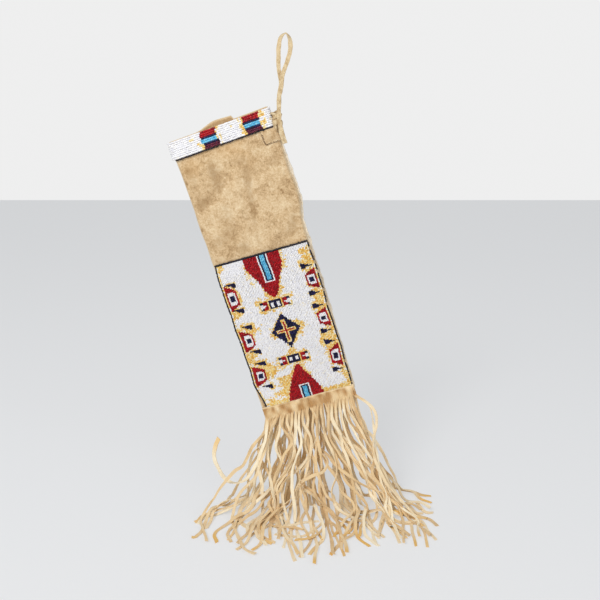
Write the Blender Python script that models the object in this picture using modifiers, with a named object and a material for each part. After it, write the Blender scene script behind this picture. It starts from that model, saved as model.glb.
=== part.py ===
"""Beaded hide pipe bag, hanging by its thong loop, in metres with +Z up.

The origin is the inside of the loop's top, where a hook bears.  The bag is drawn in a frame of its own,
x across it, -y out of its front and drops measured down its length, and an empty turns that frame by
the angle at which a bag hangs when its loop is tied to one corner.  The fringe falls straight down to a
table and runs out over it, so the strips are drawn in the upright frame.
"""
import math
import random

import bmesh
import bpy
import numpy
from mathutils import Matrix, Vector
from mathutils.bvhtree import BVHTree

# Hanging and clearance
HANG_TILT = math.radians(17.3)
GAP = 0.0003

# Hide bag, in its own frame
BAG_RIGHT = -0.0465
BAG_WIDTH = 0.127
BAG_DEPTH = 0.013
HIDE = 0.0016
SIDE_ROUND = 0.004
MOUTH_DROP = 0.0725
MOUTH_SLANT = 0.005
MOUTH_BOW = 0.006
MOUTH_BOW_LENGTH = 0.085
MOUTH_FLARE = 0.002
RIM_PROUD = 0.0006
FLAP_SHARES = (0.744, 0.327)
FLAP_RISE = 0.0055
FOOT_DEPTH = 0.0052
FOOT_TAPER = 0.075
FOOT_BELOW_PANEL = 0.008
ARC_STEPS = 4
BACK_STEPS = 6

# Raw seam down the right-hand side
SEAM_TOP_DROP = 0.1045
SEAM_WIDTH = 0.0045
SEAM_THICKNESS = 0.0026
SEAM_WAVE = 0.0014
SEAM_WAVE_LENGTH = 0.047
SEAM_RIPPLE = 0.6
SEAM_RIPPLE_RATE = 2.55
SEAM_SWAY = 0.0005
SEAM_STEP = 0.014

# Beads, in the rows that a lane of stitching gives
BEAD_LOW = 0.0017
BEAD_HIGH = 0.0025
BAND_ROWS = 9
BAND_BOTTOM_DROP = 0.0987
BAND_BACKING = 0.0006
BLOCK_SHARES = ((0.597, 0.155), (0.184, 0.148))
BAND_STRIPES = (("red", 0, 3), ("turquoise", 4, 6), ("wine", 7, 9))
NAVY_STRIPE = (3, 7)
NAVY_BACKING = 0.0004
BAND_EDGE = 0.0015
PANEL_DROP = 0.241
PANEL_TOP_EDGE = 0.0030
PANEL_SIDE_EDGE = 0.0022
ROW = 0.00318
LANES = 7
ROWS_IN_LANE = 9
COLUMNS = 62

# Motifs, in columns from the middle line and rows from the top of the beaded field
TOP_TRIANGLE = ((0, 12.5), (5, 11.5), (8, 9.5), (10, 7.0), (13, 5.5), (15, 4.0), (16.5, 2.5))
TOP_TRIANGLE_END = 17.5
TOP_BAR_ENDS = (11, 10, 9)
LOW_TRIANGLE = ((49, 1.5), (50, 3.0), (51, 4.0), (52, 5.5), (55, 6.5), (56, 8.0), (58, 10.0), (60, 11.5))
LOW_BAR_STARTS = (57, 58, 59)
BAR_HALVES = (4, 3, 2)
DEVICES = ((18, -0.7), (42.5, -1.7))
DEVICE_HEIGHT = 4
DEVICE_BOX = 4.5
DEVICE_FORK = (5.5, 8.0, 11.0)
DIAMOND = ((25, 1.2), (26, 3.0), (28, 5.5), (30, 8.0), (31, 9.5), (34, 8.0), (35, 5.5), (37, 3.0), (39, 1.2))
DIAMOND_END = 40
DIAMOND_MIDDLE = 0.8
CROSS = ((27, 1.7), (31.5, 6.0), (33.5, 1.7))
CROSS_END = 38
CROSS_CORE = ((28, 0.6), (32, 5.0), (33, 0.6))
CROSS_CORE_END = 37
SIDE_MOTIF_ROWS = {"left": (8, 27, 43), "right": (10, 27, 44)}
SIDE_MOTIF_REACH = (1.5, 3.2, 7.4, 7.8, 7.8, 7.8, 7.8, 7.4, 3.2, 1.5)
SIDE_SQUARE = (3, 7, 1.0, 6.2)
FEATHER_ABOVE = ((5.5, 8.5), (4.0, 8.5), (2.0, 8.0))
FEATHER_BELOW = ((3.7, 8.0), (4.2, 8.5), (5.5, 8.5))

# Loop of flat thong
THONG_WIDTH = 0.0052
THONG = 0.0015
LOOP_LEFT = ((-0.0058, -0.004), (-0.0080, -0.013), (-0.0088, -0.027), (-0.0084, -0.041), (-0.0062, -0.053))
LOOP_RIGHT = ((0.0044, -0.0042), (0.0056, -0.0125), (0.0034, -0.026), (-0.0006, -0.037), (-0.0038, -0.046))
LOOP_STEM = ((-0.0060, -0.060), (-0.0083, -0.071), (-0.0086, -0.081))
LOOP_TURN = 0.014
LOOP_JOIN = -0.030
KNOT_SIZE = 0.0021
KNOT_THICKNESS = 0.0013
KNOT_DROP = 0.0925
KNOT_SIDE = 0.0070
KNOT_TOP = 0.0067
KNOT_FLATTEN = 1.12
KNOT_POINTS = 30
TAIL_LENGTH = 0.021
TAIL_STATIONS = (0.0, 0.35, 0.7, 1.0)
TAIL_LEAN = -0.09
TAIL_BEND = 0.09
TAIL_TWIST = 0.4
TAIL_WIDTH = 0.0042

# Patch stitched under the band at the loop's corner
PATCH_WIDTH = 0.0215
PATCH_HEIGHT = 0.0120
PATCH_RISE = 0.001
PATCH_THICKNESS = 0.0014
PATCH_DROP = 0.1030
PATCH_FROM_RIGHT = 0.0040

# Fringe cut from two strips of hide, on a table
TABLE = -0.6016
HEADER_HEIGHT = 0.013
HEADER_THICKNESS = 0.0018
HEADER_SLANT = 0.003
STRIP_THICKNESS = 0.0013
STRIP_TIP = 0.0053
STRIP_SLIT = 0.0008
WIDENING = 1.4
WIDEN_LATE = 0.3
STRIP_SPACE = 0.0005
FRONT_STRIPS = 25
BACK_STRIPS = 22
FRONT_SHEETS = (-0.052, -0.043, -0.034, -0.025)
BACK_SHEETS = (-0.015, -0.006, 0.003)
STRIP_LENGTH = 0.242
STRIP_LENGTH_SPREAD = 0.026
LANDING_LEFT = -0.038
LANDING_RIGHT = 0.052
LANDING_SPREAD = 0.011
HEADING_LEFT = math.radians(-34)
HEADING_RIGHT = math.radians(36)
HEADING_SPREAD = math.radians(30)
CURL_SPREAD = math.radians(80)
BEND_RADIUS = 0.013
BEND_STEPS = 3
AIR_STEPS = 12
AIR_WAVE = 0.0055
AIR_TURNS = 8.0
TURNS_RANGE = (0.7, 1.3)
WAVE_RANGE = (0.4, 1.2)
REACH_CURVE = 1.6
PARTING_CURVE = 0.85
ARCH_HEIGHT = 0.022
ARCH_HASTE = 1.6
FIRST_HEADING = 0.45
RUN_WAVE = math.radians(32)
RUN_TURNS = 5.5
LANDING_ZONE = 0.030
MAX_SLOPE = 0.35
STEEP = 0.6
CLEAR_REACH = 1.3
LIFT_PASSES = 3
LIFT_PROBES = 6
HEIGHT_WEIGHT = 3.0
FINE_STEP = 0.004
SIMPLIFY = 0.0021
AIR_SIMPLIFY = 0.0014
SPRING_SIMPLIFY = 0.0004
STRIP_ROLL = math.radians(45)
TRIES = 120
SPRING_STRIP = 0
SPRING = ((-0.029, -0.019, -0.508), (-0.040, -0.028, -0.540), (-0.052, -0.034, -0.562),
          (-0.070, -0.037, -0.568), (-0.086, -0.037, -0.557), (-0.095, -0.036, -0.536),
          (-0.095, -0.033, -0.520), (-0.090, -0.031, -0.506))
MAP_CELL = 0.0015
MAP_LEFT = -0.30
MAP_NEAR = -0.30
MAP_WIDTH = 0.66
MAP_DEPTH = 0.45
SEED = 40

COLOURS = {
    "hide": ((0.58, 0.40, 0.21), 0.85),
    "fringe": ((0.69, 0.50, 0.28), 0.82),
    "thong": ((0.74, 0.60, 0.38), 0.80),
    "white": ((0.75, 0.72, 0.75), 0.30),
    "red": ((0.42, 0.012, 0.025), 0.28),
    "wine": ((0.11, 0.008, 0.035), 0.28),
    "navy": ((0.014, 0.011, 0.085), 0.28),
    "turquoise": ((0.11, 0.52, 0.76), 0.28),
    "yellow": ((0.80, 0.47, 0.06), 0.30),
    "edge": ((0.006, 0.005, 0.014), 0.30),
}

BAG_LEFT = BAG_RIGHT - BAG_WIDTH
FLAP_LEFT, FLAP_RIGHT = (BAG_RIGHT - share * BAG_WIDTH for share in FLAP_SHARES)
BAND_BLOCKS = tuple((BAG_RIGHT - middle * BAG_WIDTH, width * BAG_WIDTH) for middle, width in BLOCK_SHARES)
FRONT = -BAG_DEPTH / 2
FIELD_LEFT = BAG_LEFT + PANEL_SIDE_EDGE
FIELD_TOP = PANEL_DROP + PANEL_TOP_EDGE
ROWS = LANES * ROWS_IN_LANE
COLUMN = (BAG_WIDTH - 2 * PANEL_SIDE_EDGE) / COLUMNS
PANEL_BOTTOM = FIELD_TOP + ROWS * ROW
BAG_BOTTOM = PANEL_BOTTOM + FOOT_BELOW_PANEL


# Scene and materials

def clear_scene():
    for thing in list(bpy.data.objects):
        bpy.data.objects.remove(thing, do_unlink=True)


def new_collection(name):
    group = bpy.data.collections.new(name)
    bpy.context.scene.collection.children.link(group)
    return group


def material(name):
    made = bpy.data.materials.get(name)
    if made:
        return made
    colour, roughness = COLOURS[name]
    made = bpy.data.materials.new(name)
    made.use_nodes = True
    shader = made.node_tree.nodes["Principled BSDF"]
    shader.inputs["Base Color"].default_value = (*colour, 1.0)
    shader.inputs["Roughness"].default_value = roughness
    shader.inputs["Metallic"].default_value = 0.0
    return made


def add_piece(name, mesh_data, finish, parent=None):
    mesh = bpy.data.meshes.new(name)
    bmesh.ops.recalc_face_normals(mesh_data, faces=mesh_data.faces)
    mesh_data.to_mesh(mesh)
    mesh_data.free()
    piece = bpy.data.objects.new(name, mesh)
    PARTS.objects.link(piece)
    mesh.materials.append(material(finish))
    piece.parent = parent
    return piece


def add_cutter(name, mesh_data, parent):
    mesh = bpy.data.meshes.new(name)
    bmesh.ops.recalc_face_normals(mesh_data, faces=mesh_data.faces)
    mesh_data.to_mesh(mesh)
    mesh_data.free()
    cutter = bpy.data.objects.new(name, mesh)
    CUTTERS.objects.link(cutter)
    cutter.hide_render = True
    cutter.display_type = "WIRE"
    cutter.parent = parent
    return cutter


def boolean(piece, cutter, operation):
    step = piece.modifiers.new(operation.lower(), "BOOLEAN")
    step.operation = operation
    step.object = cutter
    step.solver = "EXACT"


# Shape helpers

def ease(share):
    share = min(max(share, 0.0), 1.0)
    return share * share * (3 - 2 * share)


def blend(start, end, share):
    return start + (end - start) * share


def loft(rings, ring_closed=False):
    """Skin like rings of points; the ends are capped, or joined to each other when ring_closed."""
    skin = bmesh.new()
    rows = [[skin.verts.new(point) for point in ring] for ring in rings]
    pairs = list(zip(rows, rows[1:]))
    if ring_closed:
        pairs.append((rows[-1], rows[0]))
    for one, two in pairs:
        for i in range(len(one)):
            j = (i + 1) % len(one)
            skin.faces.new((one[i], one[j], two[j], two[i]))
    if not ring_closed:
        skin.faces.new(list(reversed(rows[0])))
        skin.faces.new(rows[-1])
    return skin


def prism(outlines, y_front, y_back):
    """Straight-sided blocks through the beadwork, from outlines in x and z."""
    blocks = bmesh.new()
    for outline in outlines:
        face = blocks.faces.new([blocks.verts.new((x, y_front, z)) for x, z in outline])
        grown = bmesh.ops.extrude_face_region(blocks, geom=[face])
        moved = [item for item in grown["geom"] if isinstance(item, bmesh.types.BMVert)]
        bmesh.ops.translate(blocks, verts=moved, vec=(0, y_back - y_front, 0))
    return blocks


# The bag's section

def mouth_drop(x):
    return MOUTH_DROP + MOUTH_SLANT * (BAG_RIGHT - x) / BAG_WIDTH


def depth_at(drop):
    return blend(FOOT_DEPTH, BAG_DEPTH, ease((PANEL_BOTTOM - drop) / FOOT_TAPER))


def section(drop, out):
    """The bag's outline at a drop, moved out from the hide's outer face, from front left round to it."""
    rise = 1 - (drop - MOUTH_DROP) / MOUTH_BOW_LENGTH
    bow = MOUTH_BOW * ease(rise)
    left = BAG_LEFT - MOUTH_FLARE * ease(rise * 2 - 1)
    depth = depth_at(drop)
    middle = FRONT + depth / 2
    points = []
    for step in range(ARC_STEPS + 1):
        turn = math.pi * (step / ARC_STEPS - 0.5)
        reach = (SIDE_ROUND + out) * math.cos(turn)
        points.append((BAG_RIGHT - SIDE_ROUND + reach, middle + (depth / 2 + out) * math.sin(turn)))
    for step in range(1, BACK_STEPS):
        share = step / BACK_STEPS
        x = blend(BAG_RIGHT - SIDE_ROUND, left + SIDE_ROUND, share)
        points.append((x, middle + depth / 2 + out + bow * math.sin(math.pi * share)))
    for step in range(ARC_STEPS + 1):
        turn = math.pi * (step / ARC_STEPS + 0.5)
        reach = (SIDE_ROUND + out) * math.cos(turn)
        points.append((left + SIDE_ROUND + reach, middle + (depth / 2 + out) * math.sin(turn)))
    return points


def section_ring(drop, out):
    return [(x, y, -drop) for x, y in section(drop, out)]


def rim_ring(out):
    """The hide's mouth edge, with the flap of the back wall that stands up above the band."""
    ring = []
    for x, y in section(MOUTH_DROP, out):
        flap = FLAP_RISE if y > 0 and FLAP_LEFT < x < FLAP_RIGHT else 0.0
        ring.append((x, y, RIM_PROUD + flap - mouth_drop(x)))
    return ring


def make_bag_hide():
    below_mouth = (0.016, 0.036, 0.062, MOUTH_BOW_LENGTH, 0.15)
    near_foot = (FOOT_TAPER, FOOT_TAPER * 0.66, FOOT_TAPER * 0.33, 0.0)
    drops = [MOUTH_DROP + down for down in below_mouth] + [PANEL_BOTTOM - up for up in near_foot]
    rings = [section_ring(BAG_BOTTOM, 0.0)]
    rings += [section_ring(drop, 0.0) for drop in reversed(drops)]
    rings += [rim_ring(0.0), rim_ring(-HIDE)]
    rings += [section_ring(drop, -HIDE) for drop in drops]
    rings += [section_ring(BAG_BOTTOM - HIDE, -HIDE)]
    bag = add_piece("bag_hide", loft(rings), "hide", TILT)
    boolean(bag, add_cutter("seam_strip", seam_strip(), TILT), "UNION")


def seam_strip():
    length = BAG_BOTTOM - HIDE - SEAM_TOP_DROP
    steps = round(length / SEAM_STEP)
    rings = []
    for step in range(steps + 1):
        drop = SEAM_TOP_DROP + length * step / steps
        turn = 2 * math.pi * drop / SEAM_WAVE_LENGTH
        wave = math.sin(turn) + SEAM_RIPPLE * math.sin(SEAM_RIPPLE_RATE * turn)
        inner = BAG_RIGHT - HIDE
        outer = BAG_RIGHT + SEAM_WIDTH + SEAM_WAVE * wave
        middle = FRONT + depth_at(drop) / 2 + SEAM_SWAY * wave
        half = SEAM_THICKNESS / 2
        rings.append([(inner, middle - half, -drop), (outer, middle - half, -drop),
                      (outer, middle + half, -drop), (inner, middle + half, -drop)])
    return loft(rings)


# Mouth band

def band_drop(x, row):
    return blend(mouth_drop(x), BAND_BOTTOM_DROP, row / BAND_ROWS)


def make_mouth_band():
    rings = []
    for half_row in range(2 * BAND_ROWS + 1):
        out = GAP + (BEAD_HIGH if half_row % 2 else BEAD_LOW)
        rings.append([(x, y, -band_drop(x, half_row / 2)) for x, y in section(MOUTH_DROP, out)])
    for row in (BAND_ROWS, 0):
        rings.append([(x, y, -band_drop(x, row)) for x, y in section(MOUTH_DROP, GAP)])
    band = add_piece("mouth_band", loft(rings, ring_closed=True), "white", TILT)
    pockets = []
    for middle, width in BAND_BLOCKS:
        left = middle - width / 2 - GAP
        right = middle + width / 2 + GAP
        pockets.append([(left, -MOUTH_DROP + BAND_EDGE), (right, -MOUTH_DROP + BAND_EDGE),
                        (right, -BAND_BOTTOM_DROP - BAND_EDGE), (left, -BAND_BOTTOM_DROP - BAND_EDGE)])
    floor = FRONT - GAP - BAND_BACKING
    cutter = add_cutter("band_pockets", prism(pockets, FRONT - 4 * BEAD_HIGH, floor), TILT)
    boolean(band, cutter, "DIFFERENCE")
    for number, (middle, width) in enumerate(BAND_BLOCKS, 1):
        left = middle - width / 2
        right = middle + width / 2
        for colour, first, last in BAND_STRIPES:
            seat = floor - GAP
            if colour == "turquoise":
                seat = seat - NAVY_BACKING - GAP
            add_piece(f"band_{colour}_{number}", stripe(left, right, first, last, seat), colour, TILT)
        navy = add_piece(f"band_navy_{number}", stripe(left, right, *NAVY_STRIPE, floor - GAP), "navy", TILT)
        colour, first, last = BAND_STRIPES[1]
        low = left - GAP
        high = right + GAP
        pocket = [(low, GAP / 2 - band_drop(left, first)), (high, GAP / 2 - band_drop(right, first)),
                  (high, -GAP / 2 - band_drop(right, last)), (low, -GAP / 2 - band_drop(left, last))]
        seat = floor - GAP - NAVY_BACKING
        cutter = add_cutter(f"navy_pocket_{number}", prism([pocket], FRONT - 4 * BEAD_HIGH, seat), TILT)
        boolean(navy, cutter, "DIFFERENCE")


def stripe(left, right, first, last, seat):
    """A few rows of one colour in a block of the band, ridged by bead row."""
    ends = []
    for x in (left, right):
        top = -GAP / 2 - band_drop(x, first)
        foot = GAP / 2 - band_drop(x, last)
        profile = [(x, seat, top), (x, seat, foot)]
        for half_row in range(round(2 * last), round(2 * first) - 1, -1):
            proud = BEAD_HIGH if half_row % 2 else BEAD_LOW
            trim = GAP / 2 * ((half_row == 2 * last) - (half_row == 2 * first))
            profile.append((x, FRONT - GAP - proud, trim - band_drop(x, half_row / 2)))
        ends.append(profile)
    return loft(ends)


def make_band_edging():
    """One dark row under the front of the band."""
    top = -BAND_BOTTOM_DROP - GAP
    profile = ((0, 0), (BEAD_LOW, 0), (BEAD_HIGH, -BAND_EDGE / 2), (BEAD_LOW, -BAND_EDGE), (0, -BAND_EDGE))
    ends = [[(x, FRONT - GAP - proud, top + z) for proud, z in profile]
            for x in (BAG_LEFT + SIDE_ROUND, BAG_RIGHT - SIDE_ROUND)]
    add_piece("band_edging", loft(ends), "edge", TILT)


# Beaded panel

def spot(column, row):
    """A place on the beaded field, from columns right of its middle line and rows from its top."""
    return FIELD_LEFT + (COLUMNS / 2 + column) * COLUMN, -(FIELD_TOP + row * ROW)


def stepped(spans, end):
    """An outline that steps from bead row to bead row; spans give first row, left and right column."""
    rights = []
    lefts = []
    for (row, left, right), after in zip(spans, [span[0] for span in spans[1:]] + [end]):
        rights += [spot(right, row), spot(right, after)]
        lefts += [spot(left, row), spot(left, after)]
    outline = rights + list(reversed(lefts))
    return [point for i, point in enumerate(outline) if point != outline[i - 1]]


def symmetric(halves, end, middle=0.0):
    return stepped([(row, middle - half, middle + half) for row, half in halves], end)


def at_side(spans, end, side):
    """Spans that give their reach from the panel's left (-1) or right (+1) edge."""
    edge = COLUMNS / 2
    if side < 0:
        return stepped([(row, near - edge, far - edge) for row, near, far in spans], end)
    return stepped([(row, edge - far, edge - near) for row, near, far in spans], end)


def grow(outline, amount):
    """Move the edges of an outline of upright and level edges outward."""
    area = sum(a[0] * b[1] - b[0] * a[1] for a, b in zip(outline, outline[1:] + outline[:1]))
    turn = 1 if area > 0 else -1
    moved = []
    for i, (x, z) in enumerate(outline):
        for a, b in ((outline[i - 1], outline[i]), (outline[i], outline[(i + 1) % len(outline)])):
            length = math.hypot(b[0] - a[0], b[1] - a[1])
            x += turn * amount * (b[1] - a[1]) / length
            z -= turn * amount * (b[0] - a[0]) / length
        moved.append((x, z))
    return corners_only(moved)


def corners_only(outline):
    kept = []
    for i, point in enumerate(outline):
        a = outline[i - 1]
        b = outline[(i + 1) % len(outline)]
        bend = (point[0] - a[0]) * (b[1] - point[1]) - (point[1] - a[1]) * (b[0] - point[0])
        if abs(bend) > 1e-12:
            kept.append(point)
    return kept


def bead_rows(left, right, first, last):
    """A slab of bead rows that lies on the hide, ridged row by row."""
    ends = []
    for x in (left, right):
        profile = [(x, FRONT - GAP, spot(0, first)[1]), (x, FRONT - GAP, spot(0, last)[1])]
        for half_row in range(round(2 * last), round(2 * first) - 1, -1):
            proud = BEAD_HIGH if half_row % 2 else BEAD_LOW
            profile.append((x, FRONT - GAP - proud, spot(0, half_row / 2)[1]))
        ends.append(profile)
    return loft(ends)


def motif(name, colour, outline, holes=()):
    """An area of one bead colour: ridged rows kept inside its outline and cleared for what it holds."""
    outline = corners_only(outline)
    lefts = [x for x, z in outline]
    rows = [(-z - FIELD_TOP) / ROW for x, z in outline]
    slab = bead_rows(min(lefts) - COLUMN, max(lefts) + COLUMN, math.floor(min(rows) - 0.01),
                     math.ceil(max(rows) + 0.01))
    piece = add_piece(name, slab, colour, TILT)
    shape = prism([grow(outline, -GAP / 2)], FRONT - 4 * BEAD_HIGH, FRONT)
    boolean(piece, add_cutter(name + "_outline", shape, TILT), "INTERSECT")
    if holes:
        gaps = prism([grow(hole, GAP / 2) for hole in map(corners_only, holes)], FRONT - 4 * BEAD_HIGH, FRONT)
        boolean(piece, add_cutter(name + "_holes", gaps, TILT), "DIFFERENCE")


def nested_bar(place, triangle, bars):
    """A red triangle with a white, navy and turquoise bar, one inside the other."""
    white, navy, turquoise = bars
    motif(f"{place}_triangle", "red", triangle, [white])
    motif(f"{place}_bar_white", "white", white, [navy])
    motif(f"{place}_bar_navy", "navy", navy, [turquoise])
    motif(f"{place}_bar_turquoise", "turquoise", turquoise)


def make_panel():
    cut = []
    top_triangle = symmetric(TOP_TRIANGLE, TOP_TRIANGLE_END)
    top_bars = [symmetric([(0, half)], end) for half, end in zip(BAR_HALVES, TOP_BAR_ENDS)]
    nested_bar("top", top_triangle, top_bars)
    low_triangle = symmetric(LOW_TRIANGLE, ROWS)
    low_bars = [symmetric([(start, half)], ROWS) for half, start in zip(BAR_HALVES, LOW_BAR_STARTS)]
    nested_bar("low", low_triangle, low_bars)
    cut += [top_triangle, low_triangle]

    for place, (row, middle) in zip(("upper", "lower"), DEVICES):
        box = symmetric([(row, DEVICE_BOX)], row + DEVICE_HEIGHT, middle)
        motif(f"{place}_box", "navy", box)
        cut.append(box)
        near, notch, far = DEVICE_FORK
        arms = ((row, far), (row + 1, notch), (row + DEVICE_HEIGHT - 1, far))
        for side, name in ((-1, "left"), (1, "right")):
            spans = [(first, *sorted((middle + side * near, middle + side * reach))) for first, reach in arms]
            fork = stepped(spans, row + DEVICE_HEIGHT)
            motif(f"{place}_fork_{name}", "red", fork)
            cut.append(fork)

    diamond = symmetric(DIAMOND, DIAMOND_END, DIAMOND_MIDDLE)
    cross = symmetric(CROSS, CROSS_END, DIAMOND_MIDDLE)
    core = symmetric(CROSS_CORE, CROSS_CORE_END, DIAMOND_MIDDLE)
    motif("diamond", "navy", diamond, [cross])
    motif("cross", "yellow", cross, [core])
    motif("cross_core", "red", core)
    cut.append(diamond)

    for side, name in ((-1, "left"), (1, "right")):
        for number, row in enumerate(SIDE_MOTIF_ROWS[name], 1):
            reaches = [(row + step, 0, reach) for step, reach in enumerate(SIDE_MOTIF_REACH)]
            house = at_side(reaches, row + len(SIDE_MOTIF_REACH), side)
            first, last, near, far = SIDE_SQUARE
            square = at_side([(row + first, near, far)], row + last, side)
            motif(f"side_{name}_{number}", "red", house, [square])
            motif(f"square_{name}_{number}", "white", square)
            cut.append(house)
            rise = row - len(FEATHER_ABOVE)
            fall = row + len(SIDE_MOTIF_REACH) - 1
            upper = [(rise + step, near, far) for step, (near, far) in enumerate(FEATHER_ABOVE)]
            lower = [(fall + step, near, far) for step, (near, far) in enumerate(FEATHER_BELOW)]
            for place, spans in (("upper", upper), ("lower", lower)):
                feather = at_side(spans, spans[-1][0] + 1, side)
                motif(f"feather_{name}_{number}_{place}", "navy", feather)
                cut.append(feather)

    field_right = BAG_RIGHT - PANEL_SIDE_EDGE - GAP
    field = add_piece("panel_field", bead_rows(FIELD_LEFT + GAP, field_right, 0, ROWS), "white", TILT)
    gaps = prism([grow(corners_only(outline), GAP / 2) for outline in cut], FRONT - 4 * BEAD_HIGH, FRONT)
    boolean(field, add_cutter("field_motifs", gaps, TILT), "DIFFERENCE")


def make_panel_edging():
    """The dark roll of beads over the top and down both sides of the panel."""
    profile = ((0, 0), (0, BEAD_LOW), (0.5, BEAD_HIGH), (1, BEAD_LOW), (1, 0))
    path = ((1, -1, PANEL_BOTTOM), (1, 0, PANEL_DROP), (-1, 0, PANEL_DROP), (-1, -1, PANEL_BOTTOM))
    rings = []
    for side, foot, drop in path:
        edge = BAG_LEFT if side > 0 else BAG_RIGHT
        ring = []
        for share, proud in profile:
            x = edge + side * share * PANEL_SIDE_EDGE
            z = -drop - share * (PANEL_TOP_EDGE - GAP) * (1 + foot)
            ring.append((x, FRONT - GAP - proud, z))
        rings.append(ring)
    add_piece("panel_edging", loft(rings), "edge", TILT)


# Patch, loop and knot

def make_corner_patch():
    right = BAG_RIGHT - PATCH_FROM_RIGHT
    left = right - PATCH_WIDTH
    top = -PATCH_DROP
    foot = top - PATCH_HEIGHT
    outline = [(left, top), (right, top + PATCH_RISE), (right, foot), (left, foot)]
    face = FRONT - GAP
    patch = add_piece("corner_patch", prism([outline], face - PATCH_THICKNESS, face), "hide", TILT)
    soft = patch.modifiers.new("soft edge", "BEVEL")
    soft.width = PATCH_THICKNESS / 3
    soft.segments = 1


def knot_middle():
    return Vector((BAG_RIGHT + GAP + BEAD_HIGH + GAP + KNOT_SIDE, FRONT / 3, -KNOT_DROP))


def thong_ring(point, along, across, width, thickness):
    """The flat section of a thong, square to its run."""
    along = along.normalized()
    across = (across - along * across.dot(along)).normalized()
    face = along.cross(across)
    half = across * width / 2
    lift = face * thickness / 2
    return [point - half - lift, point + half - lift, point + half + lift, point - half + lift]


def make_hanging_loop():
    """One strip of hide that goes up, over the hook and down again, with both ends in the knot."""
    top = TILT_MATRIX @ (knot_middle() + Vector((0, 0, KNOT_TOP)))
    over = Vector((0, 0, THONG / 2))
    apart = (THONG / 2 + GAP) * 2
    back = [Vector((x, apart / 2, z)) for x, z in LOOP_STEM]
    front = [Vector((x, -apart / 2, z)) for x, z in LOOP_STEM]
    end_back = Vector((top.x, top.y + apart / 2, top.z))
    end_front = Vector((top.x, top.y - apart / 2, top.z))
    rise = [Vector((x, apart / 2 * (z < LOOP_JOIN), z)) for x, z in reversed(LOOP_LEFT)]
    rise = [end_back] + back[::-1] + rise
    fall = [Vector((x, -apart / 2 * (z < LOOP_JOIN), z)) for x, z in LOOP_RIGHT] + front + [end_front]
    route = smooth_route(rise + [over] + fall, 3)
    rings = []
    for i, point in enumerate(route):
        along = route[min(i + 1, len(route) - 1)] - route[max(i - 1, 0)]
        turn = ease((point - over).length / LOOP_TURN)
        level = Vector((0, 1, 0))
        across = level * (1 - turn) + along.cross(level).normalized() * turn
        rings.append(thong_ring(point, along, across, THONG_WIDTH, THONG))
    add_piece("hanging_loop", loft(rings), "thong")


def smooth_route(points, steps):
    """Points on a smooth curve through the given ones."""
    ends = [points[0] * 2 - points[1]] + list(points) + [points[-1] * 2 - points[-2]]
    route = []
    for a, b, c, d in zip(ends, ends[1:], ends[2:], ends[3:]):
        for step in range(steps):
            t = step / steps
            route.append(0.5 * (2 * b + (c - a) * t + (2 * a - 5 * b + 4 * c - d) * t * t
                                + (3 * b - a - 3 * c + d) * t ** 3))
    return route + [points[-1]]


def make_loop_knot():
    """An overhand knot beside the band, with its short tail."""
    middle = knot_middle()
    curve = bpy.data.curves.new("knot_run", "CURVE")
    curve.dimensions = "3D"
    curve.bevel_depth = KNOT_THICKNESS
    curve.bevel_resolution = 1
    spline = curve.splines.new("POLY")
    spline.points.add(KNOT_POINTS - 1)
    spline.use_cyclic_u = True
    for i in range(KNOT_POINTS):
        t = 2 * math.pi * i / KNOT_POINTS
        x = math.sin(t) + 2 * math.sin(2 * t)
        z = math.cos(t) - 2 * math.cos(2 * t)
        y = -math.sin(3 * t) * KNOT_FLATTEN
        spline.points[i].co = (*(middle + Vector((x, y, z)) * KNOT_SIZE), 1)
    run = bpy.data.objects.new("knot_run", curve)
    CUTTERS.objects.link(run)
    bpy.context.view_layer.update()
    mesh = bpy.data.meshes.new_from_object(run.evaluated_get(bpy.context.evaluated_depsgraph_get()))
    knot = bmesh.new()
    knot.from_mesh(mesh)
    bmesh.ops.remove_doubles(knot, verts=knot.verts, dist=1e-6)
    bpy.data.objects.remove(run)
    piece = add_piece("loop_knot", knot, "thong", TILT)
    rings = []
    for share in TAIL_STATIONS:
        drop = share * TAIL_LENGTH
        point = middle + Vector(((TAIL_LEAN + TAIL_BEND * share) * drop, 0.0, -KNOT_TOP / 2 - drop))
        across = Vector((1, TAIL_TWIST * share, 0))
        rings.append(thong_ring(point, Vector((0, 0, -1)), across, TAIL_WIDTH, THONG))
    boolean(piece, add_cutter("knot_tail", loft(rings), TILT), "UNION")


# Fringe

def simplify(points, tolerance):
    """Drop the points that a straight run between their neighbours already gives."""
    if len(points) < 3:
        return list(points)
    run = points[-1] - points[0]
    worst, index = 0.0, 0
    for i in range(1, len(points) - 1):
        leg = points[i] - points[0]
        share = min(max(leg.dot(run) / run.length_squared, 0.0), 1.0)
        away = (leg - run * share).length
        if away > worst:
            worst, index = away, i
    if worst < tolerance:
        return [points[0], points[-1]]
    return simplify(points[:index + 1], tolerance)[:-1] + simplify(points[index:], tolerance)


def spring_route(root):
    """The strip that has dried into a curl and stands up off the table at the left."""
    return simplify(smooth_route([root] + [Vector(spot) for spot in SPRING], 5), SPRING_SIMPLIFY)


def strip_fall(root, share, sheet_y, wild, chance):
    """The hanging run of one strip, from its root to just above the table."""
    reach = blend(LANDING_LEFT, LANDING_RIGHT, share) + chance.uniform(-1, 1) * LANDING_SPREAD * wild
    phase = chance.uniform(0, 2 * math.pi)
    turns = AIR_TURNS * chance.uniform(*TURNS_RANGE)
    wave = AIR_WAVE * chance.uniform(*WAVE_RANGE) * wild
    fall = root.z - TABLE - BEND_RADIUS - STRIP_THICKNESS / 2
    points = []
    for step in range(AIR_STEPS + 1):
        down = step / AIR_STEPS
        sway = wave * ease(down * 2) * math.sin(phase + turns * down) * ease((1 - down) * 3)
        x = root.x + reach * down ** REACH_CURVE + sway
        y = blend(root.y, sheet_y, down ** PARTING_CURVE)
        points.append(Vector((x, y, root.z - fall * down)))
    return simplify(points, AIR_SIMPLIFY)


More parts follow.
